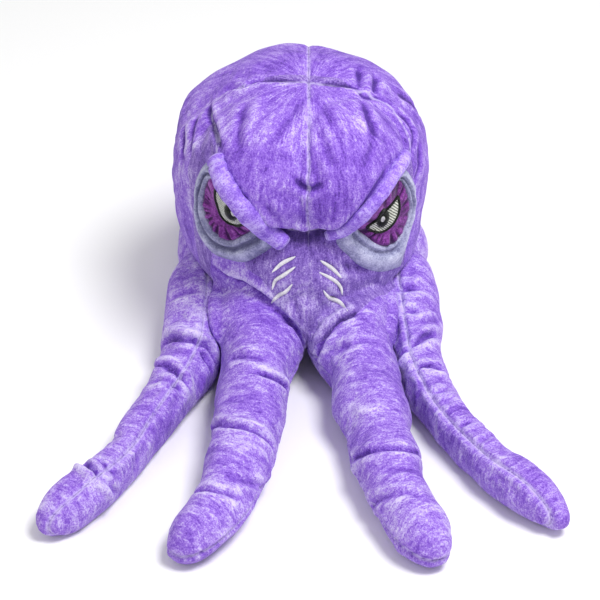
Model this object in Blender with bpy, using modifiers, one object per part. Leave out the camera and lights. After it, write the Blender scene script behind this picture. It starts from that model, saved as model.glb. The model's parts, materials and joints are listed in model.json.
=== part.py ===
"""A sewn, stuffed octopus toy: a big domed head over eight tapering tentacles.

Metres, +Z up. The origin is the centre of the flat base, and the face looks towards -Y.
Each tentacle turns at its root and again at its elbow.
"""
import math

import bmesh
import bpy
from mathutils import Matrix, Vector

# Head
HEAD_RADIUS = 0.121
HEAD_HEIGHT = 0.278
WIDEST_Z = 0.180
LOWER_EDGE_Z = 0.088
LOWER_EDGE_RADIUS = 0.112
TRUNK_TOP = (0.078, 0.082)
TRUNK_MIDDLE = (0.074, 0.048)
TRUNK_FOOT = (0.070, 0.0128)
HEAD_SEGMENTS = 24
HEAD_RINGS = 16
SHARP_ANGLE = 45.0

# Angles on the head, in degrees: polar is down from the crown, azimuth is round from the face
EQUATOR_POLAR = 90.0
LOWER_EDGE_POLAR = 135.0
EDGE_MARGIN = 1.0
TRUNK_RINGS = ((150.0, TRUNK_TOP), (160.0, TRUNK_MIDDLE), (175.0, TRUNK_FOOT))
FOREHEAD_STEPS = ((30.0, 90.0), (45.0, 79.0), (180.0, 68.0))
FACE_AZIMUTH = 60.0
CROWN_AZIMUTH = 90.0
CROWN_POLAR = 68.0
BACK_AZIMUTH = 105.0

# Fabric, gaps and base
SKIN = 0.003
GAP = 0.0006
SEAM_GAP = 0.0005
BASE_RADIUS = 0.072
BASE_THICKNESS = 0.012

# Face, as (distance round the head from the centre seam, height)
BROW_INNER = Vector((0.0235, 0.1650))
BROW_OUTER = Vector((0.1190, 0.2215))
BROW_RADIUS = 0.0075
BROW_LIFT = 0.0095
BROW_SAG = 0.0035
BROW_POINTS = 7
BROW_END_SHARE = 0.70
EYE_SURROUND = ((0.0850, 0.1690), (0.0400, 0.0400))
EYE_PATCH = ((0.0830, 0.1760), (0.0310, 0.0250))
EYE_BADGE = ((0.0740, 0.1840), (0.0150, 0.0150))
PUPIL = ((0.0740, 0.1830), (0.0058, 0.0062))
GLINT = ((0.0755, 0.1810), (0.0014, 0.0019))
APPLIQUE_THICKNESS = 0.0014
FIRST_LIFT = 0.0012
LAYER_GAP = 0.0009
BROW_CLEARANCE = 0.0012
STITCH_RADIUS = 0.0017
STITCH_LIFT = 0.0025
WRINKLES = (
    ((0.0115, 0.1445), (0.0225, 0.1400), (0.0330, 0.1310)),
    ((0.0110, 0.1320), (0.0230, 0.1260), (0.0335, 0.1130)),
    ((0.0130, 0.1140), (0.0220, 0.1080), (0.0340, 0.0960)),
)

# Tentacles: (x, y, z, half width, half height) of each section, from the root to the tip.
# The elbow is at the section numbered ELBOW.
ELBOW = 4
TENTACLES = {
    "front_left": (
        (-0.0335, -0.0850, 0.0420, 0.0290, 0.0380),
        (-0.0405, -0.1180, 0.0420, 0.0380, 0.0400),
        (-0.0450, -0.1570, 0.0365, 0.0345, 0.0345),
        (-0.0510, -0.2060, 0.0325, 0.0330, 0.0310),
        (-0.0540, -0.2380, 0.0300, 0.0320, 0.0285),
        (-0.0600, -0.2900, 0.0285, 0.0300, 0.0270),
        (-0.0730, -0.3380, 0.0275, 0.0280, 0.0260),
        (-0.0900, -0.3770, 0.0255, 0.0245, 0.0240),
        (-0.1000, -0.3960, 0.0230, 0.0150, 0.0150),
    ),
    "front_right": (
        (0.0335, -0.0850, 0.0420, 0.0290, 0.0380),
        (0.0415, -0.1180, 0.0420, 0.0385, 0.0400),
        (0.0490, -0.1570, 0.0365, 0.0350, 0.0345),
        (0.0580, -0.2100, 0.0325, 0.0335, 0.0310),
        (0.0630, -0.2420, 0.0300, 0.0320, 0.0285),
        (0.0710, -0.2930, 0.0285, 0.0305, 0.0270),
        (0.0830, -0.3400, 0.0275, 0.0290, 0.0260),
        (0.0990, -0.3800, 0.0255, 0.0245, 0.0240),
        (0.1080, -0.3990, 0.0230, 0.0150, 0.0150),
    ),
    "side_left": (
        (-0.1030, -0.0230, 0.0430, 0.0220, 0.0390),
        (-0.1085, -0.0600, 0.0400, 0.0230, 0.0360),
        (-0.1100, -0.0920, 0.0350, 0.0230, 0.0320),
        (-0.1100, -0.1120, 0.0330, 0.0225, 0.0300),
        (-0.1120, -0.1400, 0.0270, 0.0230, 0.0255),
        (-0.1270, -0.1960, 0.0250, 0.0230, 0.0235),
        (-0.1490, -0.2520, 0.0245, 0.0225, 0.0230),
        (-0.1800, -0.3080, 0.0250, 0.0240, 0.0235),
        (-0.2020, -0.3420, 0.0230, 0.0185, 0.0190),
    ),
    "side_right": (
        (0.1030, -0.0230, 0.0430, 0.0220, 0.0390),
        (0.1085, -0.0600, 0.0400, 0.0220, 0.0360),
        (0.1100, -0.0920, 0.0350, 0.0220, 0.0320),
        (0.1100, -0.1120, 0.0330, 0.0215, 0.0300),
        (0.1120, -0.1400, 0.0270, 0.0220, 0.0255),
        (0.1270, -0.1930, 0.0250, 0.0225, 0.0235),
        (0.1490, -0.2440, 0.0245, 0.0230, 0.0230),
        (0.1800, -0.2960, 0.0250, 0.0240, 0.0235),
        (0.2090, -0.3360, 0.0230, 0.0170, 0.0180),
    ),
    "rear_side_left": (
        (-0.1030, 0.0310, 0.0430, 0.0220, 0.0390),
        (-0.1010, 0.0680, 0.0400, 0.0225, 0.0360),
        (-0.0980, 0.1000, 0.0350, 0.0225, 0.0320),
        (-0.0970, 0.1200, 0.0330, 0.0220, 0.0300),
        (-0.0950, 0.1480, 0.0270, 0.0225, 0.0255),
        (-0.0950, 0.2040, 0.0250, 0.0220, 0.0235),
        (-0.0970, 0.2580, 0.0240, 0.0215, 0.0225),
        (-0.1000, 0.3080, 0.0230, 0.0205, 0.0215),
        (-0.1010, 0.3380, 0.0210, 0.0150, 0.0160),
    ),
    "rear_left": (
        (-0.0335, 0.0850, 0.0420, 0.0290, 0.0380),
        (-0.0345, 0.1180, 0.0420, 0.0310, 0.0400),
        (-0.0350, 0.1570, 0.0365, 0.0310, 0.0345),
        (-0.0355, 0.1970, 0.0325, 0.0300, 0.0310),
        (-0.0360, 0.2280, 0.0300, 0.0295, 0.0285),
        (-0.0370, 0.2750, 0.0285, 0.0280, 0.0270),
        (-0.0390, 0.3150, 0.0270, 0.0265, 0.0255),
        (-0.0420, 0.3500, 0.0250, 0.0235, 0.0235),
        (-0.0430, 0.3700, 0.0230, 0.0150, 0.0150),
    ),
}
MIRRORED_FROM = {"rear_side_right": "rear_side_left", "rear_right": "rear_left"}
SECTION_SIDES = 10
ROUND_END = (0.45, 0.80)
TIP_REACH = 0.75
TIP_SHARE = 0.45
LIFTED_ROOTS = ("front_left", "front_right", "rear_left", "rear_right")
ROOT_HINGE_RADIUS = 0.117
ROOT_HINGE_Z = 0.086
AXIS_MARK_SIZE = 0.02

COLOURS = {
    "plush": ((0.36, 0.20, 0.68, 1.0), 0.85),
    "stuffing": ((0.86, 0.86, 0.84, 1.0), 0.95),
    "base_felt": ((0.20, 0.11, 0.42, 1.0), 0.90),
    "grey_plush": ((0.34, 0.32, 0.50, 1.0), 0.85),
    "magenta_plush": ((0.20, 0.03, 0.24, 1.0), 0.85),
    "iris_thread": ((0.55, 0.66, 0.55, 1.0), 0.55),
    "dark_thread": ((0.02, 0.03, 0.03, 1.0), 0.50),
    "white_thread": ((0.86, 0.84, 0.88, 1.0), 0.45),
}


def clear_scene():
    for item in list(bpy.data.objects):
        bpy.data.objects.remove(item, do_unlink=True)


def make_material(name):
    colour, roughness = COLOURS[name]
    material = bpy.data.materials.new(name)
    material.use_nodes = True
    shader = material.node_tree.nodes["Principled BSDF"]
    shader.inputs["Base Color"].default_value = colour
    shader.inputs["Roughness"].default_value = roughness
    shader.inputs["Metallic"].default_value = 0.0
    return material


def add_object(name, data, material, collection, parent=None):
    item = bpy.data.objects.new(name, data)
    item.data.materials.append(material)
    collection.objects.link(item)
    if parent is not None:
        item.parent = parent
        item.matrix_parent_inverse = Matrix.Translation(-parent.location)
    return item


def mesh_from(bm, name):
    bmesh.ops.recalc_face_normals(bm, faces=bm.faces[:])
    mesh = bpy.data.meshes.new(name)
    bm.to_mesh(mesh)
    bm.free()
    mesh.shade_smooth()
    mesh.set_sharp_from_angle(angle=math.radians(SHARP_ANGLE))
    return mesh


def solidify(item, thickness, offset):
    shell = item.modifiers.new("thickness", "SOLIDIFY")
    shell.thickness = thickness
    shell.offset = offset
    shell.use_even_offset = True
    return shell


def side_sign(side):
    return -1.0 if side == "left" else 1.0


# ---- head surface ----

def head_profile(polar):
    """Radius and height of the head's outline at an angle in degrees down from the crown."""
    if polar <= EQUATOR_POLAR:
        angle = math.radians(polar)
        crown = HEAD_HEIGHT - WIDEST_Z
        return HEAD_RADIUS * math.sin(angle), WIDEST_Z + crown * math.cos(angle)
    if polar <= LOWER_EDGE_POLAR + EDGE_MARGIN:
        share = (polar - EQUATOR_POLAR) / (LOWER_EDGE_POLAR - EQUATOR_POLAR)
        radius = HEAD_RADIUS - (HEAD_RADIUS - LOWER_EDGE_RADIUS) * share ** 2
        return radius, WIDEST_Z - (WIDEST_Z - LOWER_EDGE_Z) * share
    for limit, ring in TRUNK_RINGS:
        if polar < limit:
            return ring
    return 0.0, TRUNK_FOOT[1]


def head_sphere(inset):
    """A ball of quads moved onto the head's outline, `inset` inside it."""
    bm = bmesh.new()
    bmesh.ops.create_uvsphere(bm, u_segments=HEAD_SEGMENTS, v_segments=HEAD_RINGS, radius=1.0)
    for vert in bm.verts:
        polar = math.degrees(math.acos(max(-1.0, min(1.0, vert.co.z))))
        azimuth = math.atan2(vert.co.x, -vert.co.y)
        radius, height = head_profile(polar)
        if polar <= LOWER_EDGE_POLAR + EDGE_MARGIN:
            radius -= inset * math.sin(math.radians(min(polar, EQUATOR_POLAR)))
            height -= inset * max(0.0, math.cos(math.radians(polar)))
            height += inset if polar > LOWER_EDGE_POLAR - EDGE_MARGIN else 0.0
        vert.co = Vector((radius * math.sin(azimuth), -radius * math.cos(azimuth), height))
    return bm


def on_head(along, height, lift):
    """The point `lift` above the head's outline, `along` round it from the centre seam."""
    if height >= WIDEST_Z:
        rise = (height - WIDEST_Z) / (HEAD_HEIGHT - WIDEST_Z)
        radius = HEAD_RADIUS * math.sqrt(max(0.0, 1.0 - rise ** 2))
        slope = math.atan2(rise * HEAD_RADIUS, radius)
    else:
        share = (WIDEST_Z - height) / (WIDEST_Z - LOWER_EDGE_Z)
        radius = HEAD_RADIUS - (HEAD_RADIUS - LOWER_EDGE_RADIUS) * share ** 2
        slope = 0.0
    azimuth = along / HEAD_RADIUS
    radius += lift * math.cos(slope)
    return Vector((
        radius * math.sin(azimuth),
        -radius * math.cos(azimuth),
        height + lift * math.sin(slope),
    ))


def forehead_edge(azimuth):
    """How far down from the crown the forehead reaches: it climbs outwards along the brow."""
    for limit, polar in FOREHEAD_STEPS:
        if azimuth < limit:
            return polar
    return FOREHEAD_STEPS[-1][1]


def panel_of(azimuth, polar):
    """The name of the panel, without its side, that covers this place on the head."""
    if azimuth > BACK_AZIMUTH or (azimuth > CROWN_AZIMUTH and polar < CROWN_POLAR):
        return "back"
    if polar < forehead_edge(azimuth):
        return "forehead"
    return "face" if azimuth < FACE_AZIMUTH else "temple"


def add_head_panel(kind, side, material, collection):
    """One fabric panel of the head, a little smaller than its share so that seams stay open."""
    sign = side_sign(side)
    bm = head_sphere(0.0)
    away = []
    for face in bm.faces:
        centre = face.calc_center_median()
        azimuth = math.degrees(math.atan2(sign * centre.x, -centre.y))
        ring = [v.co.z for v in face.verts]
        below = min(ring) < LOWER_EDGE_Z - GAP or centre.z < LOWER_EDGE_Z
        rise = (centre.z - WIDEST_Z) / (HEAD_HEIGHT - WIDEST_Z)
        polar = math.degrees(math.acos(min(1.0, max(0.0, rise))))
        if azimuth < 0.0 or below or panel_of(azimuth, polar) != kind:
            away.append(face)
    bmesh.ops.delete(bm, geom=away, context="FACES")
    kept = bm.faces[:]
    rim = bmesh.ops.inset_region(
        bm, faces=kept, thickness=SEAM_GAP, use_boundary=True, use_even_offset=True
    )
    bmesh.ops.delete(bm, geom=rim["faces"], context="FACES")
    name = kind + "_" + side
    item = add_object(name, mesh_from(bm, name), material, collection)
    solidify(item, SKIN, -1.0)
    return item


def add_head_stuffing(material, collection):
    bm = head_sphere(SKIN + GAP)
    name = "head_stuffing"
    return add_object(name, mesh_from(bm, name), material, collection)


def add_base_panel(material, collection):
    bm = bmesh.new()
    bmesh.ops.create_cone(
        bm,
        cap_ends=True,
        segments=HEAD_SEGMENTS,
        radius1=BASE_RADIUS,
        radius2=BASE_RADIUS,
        depth=BASE_THICKNESS,
        matrix=Matrix.Translation((0.0, 0.0, BASE_THICKNESS / 2.0)),
    )
    return add_object("base_panel", mesh_from(bm, "base_panel"), material, collection)


# ---- face ----

def add_brow(side, material, collection):
    """A stuffed tube from the centre of the face up and out over the eye."""
    name = "brow_" + side
    data = bpy.data.curves.new(name, "CURVE")
    data.dimensions = "3D"
    data.bevel_depth = BROW_RADIUS
    data.bevel_resolution = 1
    data.use_fill_caps = True
    line = data.splines.new("POLY")
    last = BROW_POINTS - 1
    line.points.add(last)
    for i, point in enumerate(line.points):
        share = i / last
        spot = BROW_INNER.lerp(BROW_OUTER, share)
        sag = BROW_SAG * math.sin(math.pi * share)
        place = on_head(spot.x + sag / 2.0, spot.y - sag, BROW_LIFT)
        point.co = (side_sign(side) * place.x, place.y, place.z, 1.0)
        point.radius = BROW_END_SHARE if i in (0, last) else 1.0
    return add_object(name, data, material, collection)


def add_applique(name, side, shape, level, segments, finer, material, collection):
    """A thin patch that follows the head and stops below the brow. Level counts the layers under it."""
    centre, radii = shape
    bm = bmesh.new()
    bmesh.ops.create_circle(bm, cap_ends=True, cap_tris=True, segments=segments, radius=1.0)
    along_brow = (BROW_OUTER - BROW_INNER).normalized()
    upwards = Vector((-along_brow.y, along_brow.x))
    for vert in bm.verts:
        spot = Vector(centre) + along_brow * (vert.co.x * radii[0]) + upwards * (vert.co.y * radii[1])
        vert.co = Vector((spot.x, spot.y, 0.0))
    edge = BROW_INNER - upwards * (BROW_RADIUS + BROW_SAG + BROW_CLEARANCE)
    bmesh.ops.bisect_plane(
        bm,
        geom=bm.verts[:] + bm.edges[:] + bm.faces[:],
        plane_co=(edge.x, edge.y, 0.0),
        plane_no=(upwards.x, upwards.y, 0.0),
        clear_outer=True,
    )
    if finer:
        bmesh.ops.triangulate(bm, faces=bm.faces[:])
        bmesh.ops.subdivide_edges(bm, edges=bm.edges[:], cuts=1, use_grid_fill=True)
    lift = FIRST_LIFT + level * (APPLIQUE_THICKNESS + LAYER_GAP)
    for vert in bm.verts:
        place = on_head(vert.co.x, vert.co.y, lift)
        vert.co = Vector((side_sign(side) * place.x, place.y, place.z))
    mesh = mesh_from(bm, name)
    item = add_object(name, mesh, material, collection)
    outward = sum((p.normal.y for p in mesh.polygons)) < 0.0
    solidify(item, APPLIQUE_THICKNESS, 1.0 if outward else -1.0)
    return item


def add_wrinkle(name, side, spots, material, collection):
    """One thick satin stitch on the snout, a short curved bar."""
    data = bpy.data.curves.new(name, "CURVE")
    data.dimensions = "3D"
    data.bevel_depth = STITCH_RADIUS
    data.bevel_resolution = 0
    data.use_fill_caps = True
    line = data.splines.new("POLY")
    line.points.add(len(spots) - 1)
    for spot, point in zip(spots, line.points):
        place = on_head(spot[0], spot[1], STITCH_LIFT)
        point.co = (side_sign(side) * place.x, place.y, place.z, 1.0)
    return add_object(name, data, material, collection)


def add_face(side, materials, collection):
    add_brow(side, materials["plush"], collection)
    layers = (
        ("eye_surround_", EYE_SURROUND, 16, True, "grey_plush"),
        ("eye_patch_", EYE_PATCH, 14, True, "magenta_plush"),
        ("iris_", EYE_BADGE, 14, False, "iris_thread"),
        ("pupil_", PUPIL, 12, False, "dark_thread"),
        ("glint_", GLINT, 8, False, "white_thread"),
    )
    for level, (kind, shape, segments, finer, finish) in enumerate(layers):
        add_applique(
            kind + side, side, shape, level, segments, finer, materials[finish], collection
        )
    for number, spots in enumerate(WRINKLES, start=1):
        name = "wrinkle_{}_{}".format(side, number)
        add_wrinkle(name, side, spots, materials["white_thread"], collection)


# ---- tentacles ----

def tentacle_sections(name):
    if name in MIRRORED_FROM:
        return [(-x, y, z, w, h) for x, y, z, w, h in TENTACLES[MIRRORED_FROM[name]]]
    return list(TENTACLES[name])


def heading(sections, index):
    """Level direction of the tentacle at a section."""
    before = Vector(sections[max(index - 1, 0)][:2])
    after = Vector(sections[min(index + 1, len(sections) - 1)][:2])
    flat = (after - before).normalized()
    return Vector((flat.x, flat.y, 0.0))


def ring_matrix(centre, direction, half_width, half_height):
    """Places a unit circle upright across the tentacle."""
    up = Vector((0.0, 0.0, 1.0))
    side = direction.cross(up).normalized()
    turn = Matrix((side, up, -direction)).transposed().to_4x4()
    size = Matrix.Diagonal((half_width, half_height, 1.0, 1.0))
    return Matrix.Translation(centre) @ turn @ size


def loft(rings, close_start, close_end):
    """A tube through upright elliptical rings, with its ends closed where asked."""
    bm = bmesh.new()
    loops = []
    for centre, direction, half_width, half_height in rings:
        made = bmesh.ops.create_circle(
            bm,
            segments=SECTION_SIDES,
            radius=1.0,
            matrix=ring_matrix(centre, direction, half_width, half_height),
        )
        loops.append(made["verts"])
    for near, far in zip(loops, loops[1:]):
        for i in range(SECTION_SIDES):
            j = (i + 1) % SECTION_SIDES
            bm.faces.new((near[i], near[j], far[j], far[i]))
    if close_start:
        bm.faces.new(loops[0])
    if close_end:
        bm.faces.new(loops[-1])
    return bm


def rings_between(sections, first, last):
    rings = []
    for index in range(first, last + 1):
        x, y, z, width, height = sections[index]
        rings.append((Vector((x, y, z)), heading(sections, index), width, height))
    return rings


def inner_rings(rings, inset):
    return [(c, d, w - inset, h - inset) for c, d, w, h in rings]


def rounded_start(rings):
    """Extra rings behind the first one, so that the end is round about its own centre."""
    centre, direction, width, height = rings[0]
    extra = []
    for back in reversed(ROUND_END):
        shrink = math.sqrt(1.0 - back ** 2)
        place = centre - direction * (min(width, height) * back)
        extra.append((place, direction, width * shrink, height * shrink))
    return extra + rings


def rounded_tip(rings):
    """A smaller ring beyond the last one, where the casing closes."""
    centre, direction, width, height = rings[-1]
    tip = centre + direction * (width * TIP_REACH)
    return rings + [(tip, direction, width * TIP_SHARE, height * TIP_SHARE)]


def short_of_tip(rings, inset):
    """The same rings with the last one small enough to clear the closing casing."""
    centre, direction, width, height = rings[-1]
    return rings[:-1] + [(centre - direction * inset, direction, width - inset, height - inset)]


def add_pivot(name, place, collection):
    pivot = bpy.data.objects.new(name, None)
    pivot.empty_display_size = AXIS_MARK_SIZE
    pivot.location = place
    collection.objects.link(pivot)
    return pivot


def root_pivot_place(name, sections):
    """A lifted root turns at the head's lower edge; a swept one about its own centre."""
    x, y, z, width, height = sections[0]
    if name not in LIFTED_ROOTS:
        return Vector((x, y, z))
    return Vector((x, math.copysign(ROOT_HINGE_RADIUS, y), ROOT_HINGE_Z))


def add_tentacle(name, materials, collection):
    """Four pieces: a casing and its stuffing on each side of the elbow."""
    sections = tentacle_sections(name)
    root = add_pivot(name + "_root_axis", root_pivot_place(name, sections), collection)
    elbow_place = Vector(sections[ELBOW][:3])
    elbow = add_pivot(name + "_elbow_axis", elbow_place, collection)
    inset = SKIN + GAP

    upper = rings_between(sections, 0, ELBOW - 1)
    bm = loft(upper, False, False)
    casing = add_object(
        name + "_upper_casing", mesh_from(bm, name), materials["plush"], collection, root
    )
    solidify(casing, SKIN, -1.0)
    core = inner_rings(upper, inset)
    if name not in LIFTED_ROOTS:
        core = rounded_start(core)
    bm = loft(core, True, True)
    add_object(
        name + "_upper_stuffing", mesh_from(bm, name), materials["stuffing"], collection, root
    )

    lower = rings_between(sections, ELBOW, len(sections) - 1)
    bm = loft(rounded_tip(lower), False, True)
    casing = add_object(
        name + "_lower_casing", mesh_from(bm, name), materials["plush"], collection, elbow
    )
    solidify(casing, SKIN, -1.0)
    core = rounded_start(short_of_tip(inner_rings(lower, inset), inset))
    bm = loft(core, True, True)
    add_object(
        name + "_lower_stuffing", mesh_from(bm, name), materials["stuffing"], collection, elbow
    )


def build():
    clear_scene()
    collection = bpy.data.collections.new("octopus_toy")
    bpy.context.scene.collection.children.link(collection)
    materials = {name: make_material(name) for name in COLOURS}
    for side in ("left", "right"):
        for kind in ("forehead", "temple", "back", "face"):
            add_head_panel(kind, side, materials["plush"], collection)
        add_face(side, materials, collection)
    add_head_stuffing(materials["stuffing"], collection)
    add_base_panel(materials["base_felt"], collection)
    for name in list(TENTACLES) + list(MIRRORED_FROM):
        add_tentacle(name, materials, collection)


build()
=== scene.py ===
"""The looks of the stuffed octopus toy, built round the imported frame. Metres, +Z up, face towards -Y."""
import json
import math
from collections import namedtuple

import bmesh
import bpy
import numpy as np
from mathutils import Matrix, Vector
from mathutils.bvhtree import BVHTree


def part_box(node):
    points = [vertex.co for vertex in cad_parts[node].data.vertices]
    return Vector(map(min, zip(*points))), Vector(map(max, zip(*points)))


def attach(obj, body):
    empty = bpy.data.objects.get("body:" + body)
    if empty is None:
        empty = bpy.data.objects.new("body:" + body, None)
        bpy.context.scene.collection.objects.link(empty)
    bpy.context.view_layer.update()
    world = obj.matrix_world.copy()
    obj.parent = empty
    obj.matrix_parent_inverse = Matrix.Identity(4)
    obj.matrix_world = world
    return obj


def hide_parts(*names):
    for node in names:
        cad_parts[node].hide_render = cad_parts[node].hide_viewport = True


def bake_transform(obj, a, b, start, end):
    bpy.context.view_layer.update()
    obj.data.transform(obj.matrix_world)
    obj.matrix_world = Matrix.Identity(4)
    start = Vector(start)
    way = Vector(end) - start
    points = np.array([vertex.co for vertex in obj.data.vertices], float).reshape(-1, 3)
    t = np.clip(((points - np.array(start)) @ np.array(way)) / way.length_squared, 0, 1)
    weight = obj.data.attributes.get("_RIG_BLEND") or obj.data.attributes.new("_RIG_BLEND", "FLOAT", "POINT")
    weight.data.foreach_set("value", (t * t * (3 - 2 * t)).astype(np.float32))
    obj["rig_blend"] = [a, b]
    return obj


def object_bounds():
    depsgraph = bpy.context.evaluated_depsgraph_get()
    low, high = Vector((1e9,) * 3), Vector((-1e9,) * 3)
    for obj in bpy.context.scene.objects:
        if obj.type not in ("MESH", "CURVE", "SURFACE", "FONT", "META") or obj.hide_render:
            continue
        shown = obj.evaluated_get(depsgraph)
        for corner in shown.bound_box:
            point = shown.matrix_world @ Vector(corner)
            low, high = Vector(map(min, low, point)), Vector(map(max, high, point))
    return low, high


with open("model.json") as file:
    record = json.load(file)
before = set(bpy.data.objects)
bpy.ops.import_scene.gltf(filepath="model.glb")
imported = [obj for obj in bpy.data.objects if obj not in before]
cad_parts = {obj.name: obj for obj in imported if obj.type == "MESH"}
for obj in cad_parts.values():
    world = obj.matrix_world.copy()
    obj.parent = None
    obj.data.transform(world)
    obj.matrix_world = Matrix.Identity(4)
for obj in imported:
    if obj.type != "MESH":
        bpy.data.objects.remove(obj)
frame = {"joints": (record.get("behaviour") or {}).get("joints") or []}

CAD_LOW, CAD_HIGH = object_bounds()
JOINTS = {joint["name"]: joint for joint in frame["joints"]}

# Camera, lamps (place, size across, power) and floor
ELEVATION = math.radians(34.0)
DISTANCE = 2.2
TARGET = Vector((0.0, 0.0, 0.016))
LENS = 132.0
SHIFT_X = -0.0033
SHIFT_Y = -0.0083
WORLD_STRENGTH = 0.62
LAMPS = {"key": ((0.75, -0.75, 2.1), 0.9, 45.0), "fill": ((-1.3, -1.0, 1.2), 1.4, 3.0)}
LAMP_AIM = Vector((0.0, -0.1, 0.1))
FLOOR_SIZE = 6.0
FLOOR_COLOUR = (0.9, 0.9, 0.9, 1.0)

# Meshes; a cut nearer than SNAP to an edge's end, as a share of the edge, goes through that end
VOXEL = 0.0042
SIDE_VOXEL = 0.0036
SMOOTH_ROUNDS = 4
ROW_SAMPLES = 12
TUBE_SIDES = 28
PLACE_CHUNK = 20000
SNAP = 0.12
CLOTH_THICKNESS = 0.0008
SHARP = math.radians(50)

# How high the body lies, with room under its middle for the felt disc
FLOOR_Z = 0.0006
BASE_EDGE = 0.084
BASE_BEVEL = 0.010
BASE_ROOM = 0.0024
BASE_FELT = 0.0024
BASE_SEGMENTS = 180
STITCHED_ROW = -0.55
# The disc's outline: share of its radius, and height from its middle
BASE_ROWS = (
    (0.04, -1.0), (0.5, -1.0), (0.90, -1.0), (0.925, STITCHED_ROW), (0.95, -1.0), (0.985, -0.8),
    (1.0, 0.0), (0.985, 0.8), (0.95, 1.0), (0.5, 1.0), (0.04, 1.0),
)

# Cloth simulation
CLOTH_QUALITY = 4
CLOTH_PRESSURE = 4.0
CLOTH_BENDING = 0.5
CLOTH_FRAMES = 18
SPARE_CLOTH = 0.03
AVERAGE_ROUNDS = 60
SWELL_CAP = 0.0030
SEWN_REACH = 0.0028
SEWN_FLOOR = 0.002

# Head: a dome over straight cheeks, tucked in at the back
HEAD_RADIUS = 0.121
HEAD_TOP = CAD_HIGH.z
DOME_POWER = 0.97
WIDEST_Z = 0.180
SKIRT_Z = 0.088
SKIRT_RADIUS = 0.113
TRUNK_DEPTH = 0.086
TRUNK_NARROWER = 0.33
BACK_TUCK = 0.012
BACK_TUCK_FROM = 0.3
LEFT_CHEEK = 0.0028
LEFT_CHEEK_TOP = (0.9, 1.3)
LEFT_CHEEK_FOOT = (2.4, 2.1)
FACE_SET_BACK = 0.010
FACE_SET_BACK_FROM = (math.radians(66), math.radians(92))
# Where the dome's upper corners are flatter: side, share taken off, polar angle and spread
FLAT_CORNERS = ((1.0, 0.043, 0.80, 0.30), (-1.0, 0.020, 0.75, 0.28))
# Middle and radii in millimetres of the two forehead lobes, snout, chin and two flanks
BULGES = (
    ((-30, -44, 203), (66, 82, 63)), ((30, -44, 203), (66, 82, 63)),
    ((0, -70, 105), (60, 52, 78)), ((0, -85, 75), (30, 40, 50)),
    ((-84, -75, 46), (16, 56, 28)), ((86, -75, 46), (14, 52, 28)),
)

# Seams between panels
SEAM_X = 0.006
SNOUT_FADE = 0.0016
BACK_TILT = 0.2
BACK_Y = -0.015
BACK_Z = 0.255
CHEEK_AZIMUTH = math.radians(61.0)
CHEEK_RADIUS = 0.11
ROOT_TILT = math.radians(20.0)
FRONT_RING_Y = -0.172
REAR_RING_Y = 0.160
SIDE_RING_Y = -0.096
REAR_SIDE_RING_Y = 0.104
SEAM_OFFSETS = {"side_left": 0.0095, "side_right": -0.0105}
NO_SEAM = 0.05
# The seam down a tentacle's sides: start, drop, depth, shade, then width and ridge of its valley
SIDE_SEAM_START = 0.12
SIDE_SEAM_DROP = 0.0015
SIDE_SEAM_DEPTH = 0.0022
SIDE_SEAM_SHADE = 0.0008
SIDE_SEAM_VALLEY = (0.0018, 0.5, 0.0045, 0.0026)

# Folds in general: the ridges beside them, and how they fade at their ends
RIDGE_SHARE = 0.7
RIDGE_AT = 2.2
RIDGE_WIDTH = 1.3
FOLD_FADE = 0.22
FOLD_END = 0.15
FOLD_REACH = 6
# The most painted light and shade a point may get, in metres of fold
PAINTED_SHADING_LIMIT = 0.0022
WAVE_COUNT = 14
TUCK_DEPTH = 0.0045
TUCK_WIDTH = 0.0032
TUCK_FADE = (0.010, 0.030)
REAR_START = 0.07

# How far the skin bends: along a front or rear root, beside a side tentacle's hinge, and at elbows
ROOT_ZONE = (0.085, 0.135)
SIDE_ZONE = (-0.027, 0.026)
ELBOW_REACH = 0.030
BENT_PANELS = {"face": "front", "back": "rear"}
LINING_INSET = 0.004
LINING_REACH = 0.165

# Nap: lengths along the brushing are shrunk by NAP_STRETCH, which draws the streaks out. The head's
# starts at NAP_TOP, and NAP_ROUND is what a radian round that counts
NAP_STRETCH = 0.25
NAP_TOP = np.array((SEAM_X, -0.030, 0.275))
NAP_ROUND = 0.09

# Pile colours: the darkest, also painted into creases as shade, then deep, middle and tip
VIOLET = ((0.050, 0.018, 0.190), (0.180, 0.070, 0.515), (0.310, 0.172, 0.655), (0.660, 0.580, 0.860))
# The next palette, for the snout, is a darker, greyer copy of the violet: painted shade on the face
SHADED_FACE_VIOLET = ((0.045, 0.022, 0.140), (0.160, 0.082, 0.400), (0.275, 0.172, 0.540), (0.590, 0.510, 0.800))
BROW_VIOLET = ((0.080, 0.034, 0.290), (0.200, 0.090, 0.560), (0.305, 0.170, 0.690), (0.580, 0.470, 0.890))
GREY = ((0.100, 0.095, 0.210), (0.250, 0.250, 0.420), (0.420, 0.425, 0.610), (0.680, 0.690, 0.840))
MAGENTA = ((0.035, 0.004, 0.060), (0.115, 0.018, 0.160), (0.215, 0.040, 0.285), (0.390, 0.130, 0.470))
TONES = (0.08, 0.38, 0.60, 0.95)
# Plush: its colours, how strongly it is brushed in patches, and how strong its fine pile is
PLUSHES = {
    "violet_plush": (VIOLET, 0.90, 1.0),
    "snout_plush": (SHADED_FACE_VIOLET, 0.78, 1.15),
    "tentacle_plush": (VIOLET, 0.85, 1.05),
    "brow_plush": (BROW_VIOLET, 1.0, 1.0),
    "grey_plush": (GREY, 0.8, 0.9),
    "magenta_plush": (MAGENTA, 0.9, 1.2),
}
# Thread: light and dark colour, stitches in radians a metre, and their slant if they all lie one way
THREADS = {
    "iris_thread": ((0.72, 0.74, 0.66), (0.09, 0.10, 0.08), 3100.0, (0.8, 0.0, 0.6)),
    "ring_thread": ((0.030, 0.034, 0.030), (0.008, 0.008, 0.008), 250.0),
    "dark_thread": ((0.009, 0.012, 0.008), (0.002, 0.003, 0.002), 450.0),
    "white_thread": ((0.97, 0.97, 0.94), (0.62, 0.60, 0.66), 7400.0),
}

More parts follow.
